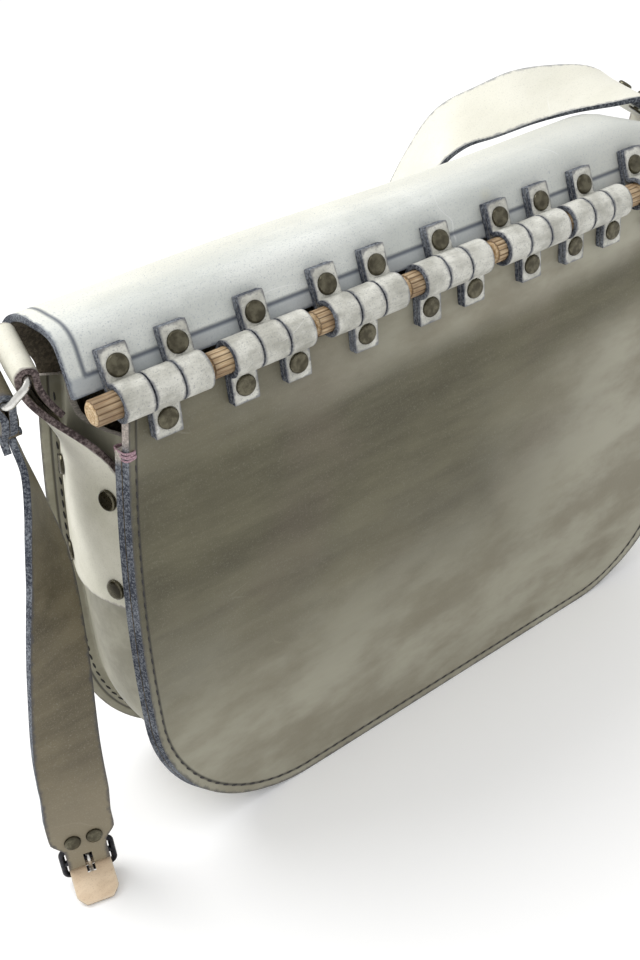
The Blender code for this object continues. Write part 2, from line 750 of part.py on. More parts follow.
def anchor_rows(side):
    """Middle surface of an anchor: up the gusset, out to the ring, over it and back down."""
    point, across, outward, upward = fold_frame(side)
    shares = [k / (ANCHOR_COLUMNS - 1) - 0.5 for k in range(ANCHOR_COLUMNS)]
    seat = ANCHOR_CLEAR + STRAP_T / 2
    rows = []
    for k in range(4):
        z = ANCHOR_BOTTOM_Z + (ANCHOR_SHOULDER_Z - ANCHOR_BOTTOM_Z) * k / 3
        rows.append([Vector((side * (wall_x(BAG_DEPTH / 2 + ANCHOR_WIDTH * s, z) + seat),
                             BAG_DEPTH / 2 + ANCHOR_WIDTH * s, z)) for s in shares])
    fold_start = [point + across * STRAP_WIDTH * s + outward * FOLD_R for s in shares]
    shoulder = rows[-1]
    neck = []
    for k in range(1, NECK_STEPS + 1):
        t = k / NECK_STEPS
        neck.append([hermite(a, b, UP * (b - a).length, upward * (b - a).length, t)
                     for a, b in zip(shoulder, fold_start)])
    rows += neck
    for k in range(1, 7):
        turn = math.pi * k / 6
        rows.append([point + across * STRAP_WIDTH * s
                     + (outward * math.cos(turn) + upward * math.sin(turn)) * FOLD_R for s in shares])
    normals = grid_normals(neck)
    for k in range(NECK_STEPS - 2, NECK_STEPS - 4, -1):
        closed = STRAP_T + CLEAR
        gap = closed + (2 * FOLD_R - closed) * smoothstep(0.4, 1.0, (k + 1) / NECK_STEPS)
        row = []
        for j, p in enumerate(neck[k]):
            inward = normals[k][j]
            if inward.x * side > 0.0:
                inward = -inward
            row.append(p + inward * gap)
        rows.append(row)
    return rows


def anchor_rivet_seats(side):
    """Seats of the four rivets of an anchor: a point on its outer face and the way out."""
    seats = []
    for z in ANCHOR_RIVET_Z:
        for end in (-1, 1):
            y = BAG_DEPTH / 2 + end * (ANCHOR_WIDTH / 2 - ANCHOR_RIVET_INSET)
            step = MM
            slope_y = (wall_x(y + step, z) - wall_x(y - step, z)) / (2 * step)
            slope_z = (wall_x(y, z + step) - wall_x(y, z - step)) / (2 * step)
            out = Vector((side, -slope_y, -slope_z)).normalized()
            on_wall = Vector((side * wall_x(y, z), y, z))
            seats.append((on_wall + out * (ANCHOR_CLEAR + STRAP_T + SEAT), out))
    return seats


def perpendicular(axis):
    """A unit vector square to an axis."""
    guess = Vector((0.0, 0.0, 1.0)) if abs(axis.z) < 0.9 else Vector((0.0, 1.0, 0.0))
    return axis.cross(guess).normalized()


def pierce(obj, seats, name):
    """Cut shank holes through a sheet at rivet seats."""
    hole = cylinder_mesh(name, SHANK_R + CLEAR, 24 * MM, 8)
    for number, (point, out) in enumerate(seats):
        matrix = frame_matrix(point, perpendicular(out), out)
        tool = cutter(f"{name}_{number}", hole, matrix=matrix)
        boolean(obj, tool)


def place_rivets(names, seats, grip, cap_radius, metal):
    """Put a rivet in each seat."""
    mesh = rivet_mesh(names[0], grip, cap_radius)
    for name, (point, out) in zip(names, seats):
        rotation = frame_matrix(point, perpendicular(out), out).to_euler()
        link_object(name, mesh, metal, point, rotation)


def make_anchors(leather, metal, gusset):
    """Both anchors with their rivets, and the rivets' holes in the gusset."""
    for side, label in ((-1, "left"), (1, "right")):
        mesh = sheet_mesh(f"anchor_{label}", anchor_rows(side), STRAP_T)
        anchor = link_object(f"anchor_{label}", mesh, leather)
        seats = anchor_rivet_seats(side)
        pierce(anchor, seats, f"anchor_{label}_hole")
        pierce(gusset, seats, f"gusset_{label}_hole")
        names = [f"anchor_rivet_{label}_{k}" for k in range(1, 5)]
        grip = SEAT + STRAP_T + ANCHOR_CLEAR + PANEL_T + 2 * CLEAR
        place_rivets(names, seats, grip, CAP_R, metal)


def ring_direction(side, drop):
    """Way from a ring's upper bar to its lower bar."""
    _, _, outward, upward = fold_frame(side)
    return outward * math.cos(drop) - upward * math.sin(drop)


def ring_bar(side, drop):
    """Middle of a ring's outer bar."""
    return fold_frame(side)[0] + ring_direction(side, drop) * RING_LENGTH


def make_ring(name, side, drop, metal):
    """Wire ring between an anchor and a strap, with its origin on the anchor's bar."""
    point, across, _, _ = fold_frame(side)
    along = ring_direction(side, drop)
    path = rounded_frame_path(RING_INNER_WIDTH + RING_WIRE_D, RING_LENGTH, RING_CORNER_R)
    path = [p + Vector((0.0, RING_LENGTH / 2, 0.0)) for p in path]
    mesh = tube_mesh(name, path, RING_WIRE_D / 2)
    normal = across.cross(along)
    rotation = frame_matrix(point, across, normal).to_euler()
    return link_object(name, mesh, metal, point, rotation)


# Straps

def spline(points, per_span=3):
    """Smooth curve through points, several steps for each span."""
    curve = []
    for i in range(len(points) - 1):
        before = points[max(i - 1, 0)]
        after = points[min(i + 2, len(points) - 1)]
        d0 = (points[i + 1] - before) * 0.5
        d1 = (after - points[i]) * 0.5
        for k in range(per_span):
            curve.append(hermite(points[i], points[i + 1], d0, d1, k / per_span))
    curve.append(points[-1])
    return curve


def band_rows(centres, acrosses, widths):
    """Rows of three points across a band, square to its run."""
    rows = []
    last = len(centres) - 1
    for i, centre in enumerate(centres):
        along = (centres[min(i + 1, last)] - centres[max(i - 1, 0)]).normalized()
        across = acrosses[i] - along * acrosses[i].dot(along)
        across.normalize()
        rows.append([centre + across * widths[i] * s for s in (-0.5, 0.0, 0.5)])
    return rows


def route_rows(start, way, across, route):
    """Rows of a strap from its fold: straight for the riveted length, then along a route."""
    centres = [start, start + way * RING_LEAD / 2, start + way * RING_LEAD]
    hints = [across] * 3
    for point, hint in route:
        centres.append(Vector(point) * MM)
        hints.append(Vector(hint).normalized())
    curve = spline(centres)
    return band_rows(curve, spline(hints), [STRAP_WIDTH] * len(curve))


def row_length(rows):
    """Distances along the middle of rows, from the first."""
    middle = len(rows[0]) // 2
    lengths = [0.0]
    for a, b in zip(rows, rows[1:]):
        lengths.append(lengths[-1] + (b[middle] - a[middle]).length)
    return lengths


def ring_fold(bar, across, aim, main_side):
    """Where a strap leaves a ring: the start of its main layer, its side and its way."""
    way = (aim - across * aim.dot(across)).normalized()
    side = across.cross(way)
    if side.dot(main_side) < 0.0:
        side = -side
    return bar + side * FOLD_R, side, way


def return_layer(rows, towards, reach):
    """Rows of the second layer of a fold: beside the first rows, closing up from the fold."""
    normals = grid_normals(rows)
    lengths = row_length(rows)
    layer = []
    closed = STRAP_T + CLEAR
    for i, row in enumerate(rows):
        if lengths[i] > reach:
            break
        gap = 2 * FOLD_R + (closed - 2 * FOLD_R) * smoothstep(0.0, 10 * MM, lengths[i])
        sign = 1.0 if normals[i][1].dot(towards) > 0.0 else -1.0
        layer.append([p + n * gap * sign for p, n in zip(row, normals[i])])
    return layer


def fold_arc(point, across, first, over, radius, width, steps=6):
    """Rows of a half turn round a bar, from the side first, by way of over."""
    rows = []
    for k in range(1, steps):
        turn = math.pi * k / steps
        middle = point + (first * math.cos(turn) + over * math.sin(turn)) * radius
        rows.append([middle + across * width * s for s in (-0.5, 0.0, 0.5)])
    return rows


def ring_rivet_seats(rows, side, face):
    """Two rivet seats through both layers of a ring fold, their caps on the given face."""
    lengths = row_length(rows)
    i = min(range(len(rows)), key=lambda k: abs(lengths[k] - RING_RIVET_AT))
    across = (rows[i][2] - rows[i][0]).normalized()
    way = (rows[i + 1][1] - rows[i - 1][1]).normalized()
    out = way.cross(across).normalized()
    if out.dot(side) < 0.0:
        out = -out
    depth = STRAP_T / 2 + SEAT
    if face < 0:
        depth += STRAP_T + CLEAR
        out = -out
    return [(rows[i][1] + across * STRAP_WIDTH * s + out * depth, out) for s in (-0.24, 0.24)]


BUCKLE_FOLD_R = BUCKLE_WIRE_D / 2 + CLEAR + SKIVED_T / 2
TONGUE_R = BUCKLE_FOLD_R + SKIVED_T / 2 + CLEAR + TONGUE_T / 2

# Strap at the buckle, upwards in reverse: height, way forward, way back, width and thickness
BUCKLE_STACK = tuple(tuple(value * MM for value in row) for row in (
    (30.0, 2.3, 1.3, 33.0, 3.3),
    (22.0, 2.3, 1.6, 33.0, 3.3),
    (17.0, 2.5, 2.3, 30.0, 3.0),
    (12.0, 2.9, 2.9, 21.6, 2.4),
    (6.5, 2.9, 2.9, 21.0, 2.2),
    (0.0, 2.9, 2.9, 21.0, 2.2),
))


def make_short_strap(leather, tan, metal, black, steel):
    """Short strap from the left ring to the buckle, with the buckle and its tongue."""
    across = fold_frame(-1)[1]
    bar = ring_bar(-1, LEFT_RING_DROP)
    start, side, way = ring_fold(bar, across, SHORT_AIM, Vector((1.0, 0.0, 0.0)))

    b_across = Vector((math.cos(BUCKLE_TURN), math.sin(BUCKLE_TURN), 0.0))
    b_back = Vector((-math.sin(BUCKLE_TURN), math.cos(BUCKLE_TURN), 0.0))
    run = route_rows(start, way, across, SHORT_ROUTE)
    main = list(run)
    thick = [STRAP_T] * len(main)
    for up, front, _, width, depth in BUCKLE_STACK:
        centre = BUCKLE_AT - b_back * front + UP * up
        main.append([centre + b_across * width * s for s in (-0.5, 0.0, 0.5)])
        thick.append(depth)
    main += fold_arc(BUCKLE_AT, b_across, -b_back, -UP, BUCKLE_FOLD_R, BUCKLE_NECK)
    thick += [SKIVED_T] * (len(main) - len(thick))
    for up, _, back, width, depth in reversed(BUCKLE_STACK):
        centre = BUCKLE_AT + b_back * back + UP * up
        main.append([centre + b_across * width * s for s in (-0.5, 0.0, 0.5)])
        thick.append(depth)
    for row in reversed(run):
        if row[1].z < BUCKLE_AT.z + STRAP_RETURN_UP:
            main.append([p + b_back * (STRAP_T + CLEAR) for p in row])
            thick.append(STRAP_T)

    second = return_layer(run, -side, SHORT_RETURN)
    rows = list(reversed(second)) + fold_arc(bar, across, -side, -way, FOLD_R, STRAP_WIDTH) + main
    depth = [STRAP_T] * (len(rows) - len(main)) + thick
    strap = link_object("short_strap", sheet_mesh("short_strap", rows, depth), leather)

    slot_high = BUCKLE_SLOT_UP + BUCKLE_FOLD_R + SKIVED_T
    slot = prism_box("short_strap_slot", BUCKLE_SLOT_WIDTH, 24 * MM, slot_high)
    slot_at = BUCKLE_AT + UP * (BUCKLE_SLOT_UP - slot_high / 2)
    boolean(strap, cutter("short_strap_slot", slot, matrix=frame_matrix(slot_at, b_across, UP)))

    _, front, _, _, depth = BUCKLE_STACK[2]
    seats = []
    for s in (-0.5, 0.5):
        point = BUCKLE_AT - b_back * (front + depth / 2 + SEAT) + UP * BUCKLE_RIVET_UP
        seats.append((point + b_across * BUCKLE_RIVET_SPACING * s, -b_back))
    pierce(strap, seats, "short_strap_hole")
    behind = TONGUE_R + CLEAR
    tongue = make_tongue(tan, b_across, b_back, behind)
    pierce(tongue, seats, "tongue_hole")
    grip = front + depth / 2 + SEAT + behind + TONGUE_T / 2 + CLEAR
    place_rivets(["buckle_rivet_1", "buckle_rivet_2"], seats, grip, STRAP_CAP_R, metal)

    ring_seats = ring_rivet_seats(run, side, -1)
    pierce(strap, ring_seats, "short_strap_ring_hole")
    place_rivets(["short_strap_rivet_1", "short_strap_rivet_2"], ring_seats,
                 2 * STRAP_T + 5 * CLEAR, STRAP_CAP_R, metal)
    make_buckle(black, steel, b_across, b_back)


def prism_box(name, width, depth, height):
    """A plain box about the origin, for cutting."""
    verts = [Vector((x * width / 2, y * depth / 2, z * height / 2))
             for x in (-1, 1) for y in (-1, 1) for z in (-1, 1)]
    faces = [(0, 1, 3, 2), (4, 6, 7, 5), (0, 4, 5, 1), (2, 3, 7, 6), (0, 2, 6, 4), (1, 5, 7, 3)]
    return closed_mesh(name, verts, faces)


def make_tongue(tan, across, back, behind):
    """Tan tongue: behind the strap, under its fold and out over the buckle's end bar."""
    centres = [BUCKLE_AT + back * behind + UP * up * MM for up in (26.0, 16.0, 7.0)]
    for k in range(6):
        turn = math.pi / 2 * k / 5 * 1.02
        centres.append(BUCKLE_AT + back * TONGUE_R * math.cos(turn) - UP * TONGUE_R * math.sin(turn))
    tip = BUCKLE_AT - back * TONGUE_FRONT
    tip.z = TONGUE_T / 2
    lip = centres[-1]
    for t in (0.22, 0.45, 0.7, 0.85, 1.0):
        point = lip.lerp(tip, t)
        point += UP * 1.6 * MM * math.sin(math.pi * t)
        centres.append(point)
    widths = [TONGUE_WIDTH] * len(centres)
    widths[-1] = TONGUE_WIDTH - 2 * TONGUE_CHAMFER
    rows = band_rows(centres, [across] * len(centres), widths)
    tongue = link_object("buckle_tongue", sheet_mesh("buckle_tongue", rows, TONGUE_T), tan)
    slot = prism_box("tongue_slot", BUCKLE_SLOT_WIDTH, 6 * MM, 10 * MM)
    slot_at = BUCKLE_AT - UP * 7.5 * MM - back * (BUCKLE_WIRE_D / 2 + CLEAR + PRONG_D / 2)
    boolean(tongue, cutter("tongue_slot", slot, matrix=frame_matrix(slot_at, across, UP)))
    return tongue


def make_buckle(black, steel, across, back):
    """Wire frame with a middle bar, and the prong whose eye turns on that bar."""
    path = rounded_frame_path(BUCKLE_WIDTH - BUCKLE_WIRE_D, 2 * BUCKLE_REACH, 3.0 * MM)
    frame = link_object("buckle_frame", tube_mesh("buckle_frame", path, BUCKLE_WIRE_D / 2), black)
    frame.location = BUCKLE_AT
    frame.rotation_euler = frame_matrix(BUCKLE_AT, across, across.cross(-UP)).to_euler()
    bar = cylinder_mesh("buckle_bar", BUCKLE_WIRE_D / 2, BUCKLE_WIDTH - BUCKLE_WIRE_D, 8)
    boolean(frame, cutter("buckle_bar", bar, matrix=frame_matrix(BUCKLE_AT, UP, across)), 'UNION')

    eye_r = BUCKLE_WIRE_D / 2 + CLEAR + PRONG_D / 2
    pin_drop = BUCKLE_REACH + BUCKLE_WIRE_D / 2
    lift = BUCKLE_WIRE_D / 2 + CLEAR + PRONG_D / 2
    centres = []
    for k in range(9):
        turn = math.pi * 1.5 * k / 8
        centres.append(back * eye_r * math.sin(turn + math.pi) * -1.0 * math.cos(0.0)
                       - UP * eye_r * math.cos(turn))
    centres.append(-back * lift - UP * pin_drop * 0.45)
    centres.append(-back * lift - UP * pin_drop)
    outline = ribbon_outline(centres, PRONG_D, back)
    mesh = prism_mesh("buckle_prong", outline, PRONG_D)
    prong = link_object("buckle_prong", mesh, steel)
    prong.location = BUCKLE_AT
    prong.rotation_euler = frame_matrix(BUCKLE_AT, across, UP).to_euler()


def ribbon_outline(centres, thickness, back):
    """Closed outline round a centre line that lies square to a strap, as (forward, along)."""
    flat = [Vector((-p.dot(back), p.z)) for p in centres]
    left, right = [], []
    last = len(flat) - 1
    for i, p in enumerate(flat):
        along = (flat[min(i + 1, last)] - flat[max(i - 1, 0)]).normalized()
        side = Vector((-along.y, along.x)) * thickness / 2
        left.append(p + side)
        right.append(p - side)
    return left + list(reversed(right))


def make_long_strap(leather, metal):
    """Long strap: from the right ring over behind the bag and down to the floor."""
    across = fold_frame(1)[1]
    bar = ring_bar(1, RIGHT_RING_DROP)
    start, side, way = ring_fold(bar, across, LONG_AIM, UP)
    run = route_rows(start, way, across, LONG_ROUTE)
    second = return_layer(run, -side, LONG_RETURN)
    rows = list(reversed(second)) + fold_arc(bar, across, -side, -way, FOLD_R, STRAP_WIDTH) + run
    strap = link_object("long_strap", sheet_mesh("long_strap", rows, STRAP_T), leather)
    end = run[-1][1]
    along = (run[-2][1] - run[-1][1]).normalized()
    hole = cylinder_mesh("long_strap_end_hole", HOLE_R, 12 * MM, 8)
    for k in range(HOLE_COUNT):
        at = end + along * (HOLE_FROM_END + HOLE_PITCH * k)
        boolean(strap, cutter(f"long_strap_end_hole_{k}", hole, at))
    seats = ring_rivet_seats(run, side, 1)
    pierce(strap, seats, "long_strap_hole")
    place_rivets(["long_strap_rivet_1", "long_strap_rivet_2"], seats,
                 2 * STRAP_T + 5 * CLEAR, STRAP_CAP_R, metal)


def main():
    """Build the bag."""
    clear_scene()
    front = finish("front_leather", LEATHER_FRONT, 0.6)
    pale = finish("flap_leather", LEATHER_PALE, 0.55)
    cream = finish("gusset_leather", LEATHER_CREAM, 0.6)
    loops = finish("loop_leather", LEATHER_PALE, 0.55)
    strap = finish("strap_leather", LEATHER_FRONT, 0.6)
    tan = finish("tan_leather", LEATHER_TAN, 0.7)
    wood = finish("beech", WOOD, 0.6)
    nickel = finish("nickel", NICKEL, 0.25, 1.0)
    brass = finish("dark_brass", BRASS_DARK, 0.35, 1.0)
    iron = finish("black_iron", IRON_BLACK, 0.4, 1.0)

    make_front_panel(front)
    make_back_and_flap(pale)
    gusset = make_gusset(cream)
    make_loops(loops)
    make_dowels(wood)
    make_anchors(cream, brass, gusset)
    make_ring("ring_left", -1, LEFT_RING_DROP, nickel)
    make_ring("ring_right", 1, RIGHT_RING_DROP, nickel)
    make_short_strap(strap, tan, brass, iron, nickel)
    make_long_strap(strap, brass)


if __name__ == "__main__":
    main()
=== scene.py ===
"""Leather shoulder bag closed by riveted loops on a row of fluted dowels.

Each part of the bag is a class that holds its sizes and builds its own meshes. Lengths are
in metres, X runs along the closure, Y to the back and Z up.
"""
import json
import logging
import math
import random
from dataclasses import dataclass
from enum import Enum
from typing import Callable, Sequence

import bpy
from mathutils import Matrix, Vector

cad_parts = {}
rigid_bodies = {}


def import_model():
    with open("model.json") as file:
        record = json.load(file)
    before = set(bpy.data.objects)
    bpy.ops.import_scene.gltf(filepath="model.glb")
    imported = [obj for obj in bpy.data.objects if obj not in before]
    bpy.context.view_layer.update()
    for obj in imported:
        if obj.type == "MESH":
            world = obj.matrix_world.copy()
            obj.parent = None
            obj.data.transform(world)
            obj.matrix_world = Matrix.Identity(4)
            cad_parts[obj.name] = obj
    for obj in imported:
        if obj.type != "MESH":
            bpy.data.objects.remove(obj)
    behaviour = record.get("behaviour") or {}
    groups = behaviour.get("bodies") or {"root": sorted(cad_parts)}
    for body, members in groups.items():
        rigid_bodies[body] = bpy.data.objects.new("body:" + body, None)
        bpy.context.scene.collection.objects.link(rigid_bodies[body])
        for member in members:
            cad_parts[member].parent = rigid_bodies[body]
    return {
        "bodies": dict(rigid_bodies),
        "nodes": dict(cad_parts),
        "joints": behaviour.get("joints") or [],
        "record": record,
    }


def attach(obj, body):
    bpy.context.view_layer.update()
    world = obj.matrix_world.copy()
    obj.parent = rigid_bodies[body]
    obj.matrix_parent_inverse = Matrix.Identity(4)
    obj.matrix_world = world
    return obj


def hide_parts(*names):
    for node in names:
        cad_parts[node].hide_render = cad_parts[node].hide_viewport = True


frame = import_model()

LOG = logging.getLogger("leather_bag")
MM = 0.001
UP = Vector((0.0, 0.0, 1.0))
Rows = list[list[Vector]]
Colour = tuple[float, float, float]
Seat = tuple[Vector, Vector]
Piece = bpy.types.Object
Material = bpy.types.Material
Socket = bpy.types.NodeSocket


class Body(Enum):
    """Bodies of the frame that pieces ride on."""

    BAG = "bag"
    LEFT_RING = "left_ring"
    BUCKLE_STRAP = "buckle_strap"


class Side(Enum):
    """The two ends of the bag."""

    LEFT = -1
    RIGHT = 1


def smoothstep(low: float, high: float, value: float) -> float:
    """Ease from 0 to 1.

    Args:
        low: Where the step starts.
        high: Where it ends.
        value: Where it is read.

    Returns:
        0 below low, 1 above high, smooth between.
    """
    share = min(max((value - low) / (high - low), 0.0), 1.0)
    return share * share * (3.0 - 2.0 * share)


def hermite(p0: Vector, p1: Vector, d0: Vector, d1: Vector, t: float) -> Vector:
    """Point of a cubic curve.

    Args:
        p0: First point.
        p1: Last point.
        d0: Direction at the first point.
        d1: Direction at the last point.
        t: Share of the way.

    Returns:
        The point at t.
    """
    return (p0 * (2 * t ** 3 - 3 * t ** 2 + 1) + d0 * (t ** 3 - 2 * t ** 2 + t)
            + p1 * (3 * t ** 2 - 2 * t ** 3) + d1 * (t ** 3 - t ** 2))


def spline(points: Sequence[Vector], per_span: int) -> list[Vector]:
    """Smooth curve through points.

    Args:
        points: Points to pass through.
        per_span: Steps between two points.

    Returns:
        Points of the curve, both ends included.
    """
    curve: list[Vector] = []
    for i in range(len(points) - 1):
        before = points[max(i - 1, 0)]
        after = points[min(i + 2, len(points) - 1)]
        d0 = (points[i + 1] - before) * 0.5
        d1 = (after - points[i]) * 0.5
        for k in range(per_span):
            curve.append(hermite(points[i], points[i + 1], d0, d1, k / per_span))
    curve.append(points[-1])
    return curve


def grid_normals(grid: Rows) -> Rows:
    """Unit normals of a grid of points.

    Args:
        grid: Rows of points.

    Returns:
        Rows of normals.
    """
    rows, cols = len(grid), len(grid[0])
    normals: Rows = []
    for i in range(rows):
        line = []
        for j in range(cols):
            along = grid[min(i + 1, rows - 1)][j] - grid[max(i - 1, 0)][j]
            across = grid[i][min(j + 1, cols - 1)] - grid[i][max(j - 1, 0)]
            line.append(along.cross(across).normalized())
        normals.append(line)
    return normals


def frame_matrix(origin: Vector, x_axis: Vector, z_axis: Vector) -> Matrix:
    """Matrix that puts a piece in a seat.

    Args:
        origin: Where its origin goes.
        x_axis: Where its X axis points.
        z_axis: Where its Z axis points.

    Returns:
        The 4x4 matrix.
    """
    y_axis = z_axis.cross(x_axis)
    columns = (x_axis, y_axis, z_axis)
    turned = Matrix([[axis[row] for axis in columns] for row in range(3)]).to_4x4()
    return Matrix.Translation(origin) @ turned


def square_to(axis: Vector) -> Vector:
    """A unit vector square to an axis."""
    guess = Vector((0.0, 0.0, 1.0)) if abs(axis.z) < 0.9 else Vector((0.0, 1.0, 0.0))
    return axis.cross(guess).normalized()


def seat_matrix(seat: Seat) -> Matrix:
    """Matrix of a rivet in its seat."""
    point, out = seat
    return frame_matrix(point, square_to(out), out)


# Workbench: the modelling steps that the classes share

class Bench:
    """Modelling steps on one object at a time."""

    @staticmethod
    def pick(obj: Piece) -> None:
        """Select one object alone and make it active."""
        for other in bpy.context.view_layer.objects:
            other.select_set(False)
        obj.select_set(True)
        bpy.context.view_layer.objects.active = obj

    @staticmethod
    def clear() -> None:
        """Deselect everything."""
        for other in bpy.context.view_layer.objects:
            other.select_set(False)

    @staticmethod
    def named(name: str, materials: Sequence[Material]) -> Piece:
        """Name the new active object and give it its materials.

        Args:
            name: Name of the piece.
            materials: Materials in the order of its slots.

        Returns:
            The object.
        """
        obj = bpy.context.active_object
        obj.name = name
        obj.data.name = name
        for material in materials:
            obj.data.materials.append(material)
        return obj

    @classmethod
    def apply(cls, obj: Piece, kind: str, **settings: object) -> None:
        """Add a modifier and apply it.

        Args:
            obj: The piece.
            kind: Type of the modifier.
            **settings: Its values.
        """
        modifier = obj.modifiers.new(kind.title(), kind)
        for key, value in settings.items():
            setattr(modifier, key, value)
        cls.pick(obj)
        bpy.ops.object.modifier_apply(modifier=modifier.name)

    @classmethod
    def settle(cls, obj: Piece) -> None:
        """Put an object's place, turn and size into its mesh."""
        cls.pick(obj)
        bpy.ops.object.transform_apply(location=True, rotation=True, scale=True)

    @classmethod
    def smooth(cls, obj: Piece, angle: float = 40.0) -> None:
        """Shade a piece smooth up to an angle in degrees."""
        cls.pick(obj)
        bpy.ops.object.shade_smooth_by_angle(angle=math.radians(angle))

    @staticmethod
    def copy(obj: Piece, name: str, matrix: Matrix) -> Piece:
        """Copy a model into a place, with a mesh of its own.

        Args:
            obj: The model.
            name: Name of the copy.
            matrix: Its place.

        Returns:
            The copy, with its place in its mesh.
        """
        twin = obj.copy()
        twin.data = obj.data.copy()
        twin.name = name
        twin.data.name = name
        twin.data.transform(matrix)
        bpy.context.scene.collection.objects.link(twin)
        return twin

    @classmethod
    def join(cls, pieces: Sequence[Piece], name: str) -> Piece:
        """Join pieces into one object.

        Args:
            pieces: The pieces, the first of which is kept.
            name: Name of the joined piece.

        Returns:
            The joined object.
        """
        cls.pick(pieces[0])
        for piece in pieces[1:]:
            piece.select_set(True)
        bpy.ops.object.join()
        joined = bpy.context.active_object
        joined.name = name
        joined.data.name = name
        return joined

    @classmethod
    def cut(cls, obj: Piece, tools: Sequence[Piece]) -> None:
        """Cut tools out of a piece, then drop them.

        Args:
            obj: The piece.
            tools: Closed cutting shapes.
        """
        for tool in tools:
            cls.apply(obj, "BOOLEAN", operation="DIFFERENCE", solver="EXACT", object=tool)
            bpy.data.objects.remove(tool, do_unlink=True)

    @staticmethod
    def drop(obj: Piece) -> None:
        """Remove a model that has been copied."""
        bpy.data.objects.remove(obj, do_unlink=True)


@dataclass(frozen=True)
class Dress:
    """Materials of a piece of leather: its face, its flesh side and its cut edge."""

    face: Material
    flesh: Material
    edge: Material

    def slots(self) -> list[Material]:
        """The materials in the order of a sheet's slots."""
        return [self.face, self.flesh, self.edge]


@dataclass
class Sheet:
    """A piece of leather made from a grid that follows its middle surface."""

    name: str
    rows: Rows
    thickness: float
    dress: Dress
    face_side: float = 1.0
    depths: Sequence[float] | None = None
    distance: Callable[[int, int], float] | None = None
    bevel: float = 0.5 * MM

    def edge_distance(self) -> list[list[float]]:
        """Distance of each point from the nearest edge of the leather.

        Returns:
            Rows of distances.
        """
        count, width = len(self.rows), len(self.rows[0])
        if self.distance is not None:
            return [[self.distance(i, j) for j in range(width)] for i in range(count)]
        along = [0.0]
        middle = width // 2
        for a, b in zip(self.rows, self.rows[1:]):
            along.append(along[-1] + (b[middle] - a[middle]).length)
        table = []
        for i, row in enumerate(self.rows):
            ends = min(along[i], along[-1] - along[i])
            table.append([min((p - row[0]).length, (p - row[-1]).length, ends) for p in row])
        return table

    def build(self) -> Piece:
        """Make the sheet.

        Returns:
            The closed piece of leather.
        """
        count, width = len(self.rows), len(self.rows[0])
        Bench.clear()
        bpy.ops.mesh.primitive_grid_add(x_subdivisions=width - 1, y_subdivisions=count - 1,
                                        size=1.0, calc_uvs=True)
        obj = Bench.named(self.name, self.dress.slots())
        distances = self.edge_distance()
        attribute = obj.data.attributes.new("edge_distance", "FLOAT", "POINT")
        weights: dict[int, float] = {}
        for vertex in obj.data.vertices:
            j = round((vertex.co.x + 0.5) * (width - 1))
            i = round((vertex.co.y + 0.5) * (count - 1))
            vertex.co = self.rows[i][j]
            attribute.data[vertex.index].value = distances[i][j]
            if self.depths is not None:
                weights[vertex.index] = min(self.depths[i] / self.thickness, 1.0)
        settings: dict[str, object] = {
            "thickness": self.thickness, "offset": 0.0, "use_even_offset": False,
            "use_rim": True, "material_offset": 1, "material_offset_rim": 2}
        if weights:
            group = obj.vertex_groups.new(name="depth")
            for index, weight in weights.items():
                group.add([index], weight, "REPLACE")
            settings["vertex_group"] = group.name
        if self.face_side < 0.0:
            obj.data.flip_normals()
        Bench.apply(obj, "SOLIDIFY", **settings)
        if self.bevel > 0.0:
            Bench.apply(obj, "BEVEL", width=self.bevel, segments=2, limit_method="ANGLE",
                        angle_limit=math.radians(55.0), use_clamp_overlap=True)
        obj.vertex_groups.clear()
        Bench.smooth(obj)
        return obj


# Shared effects, built once as node groups

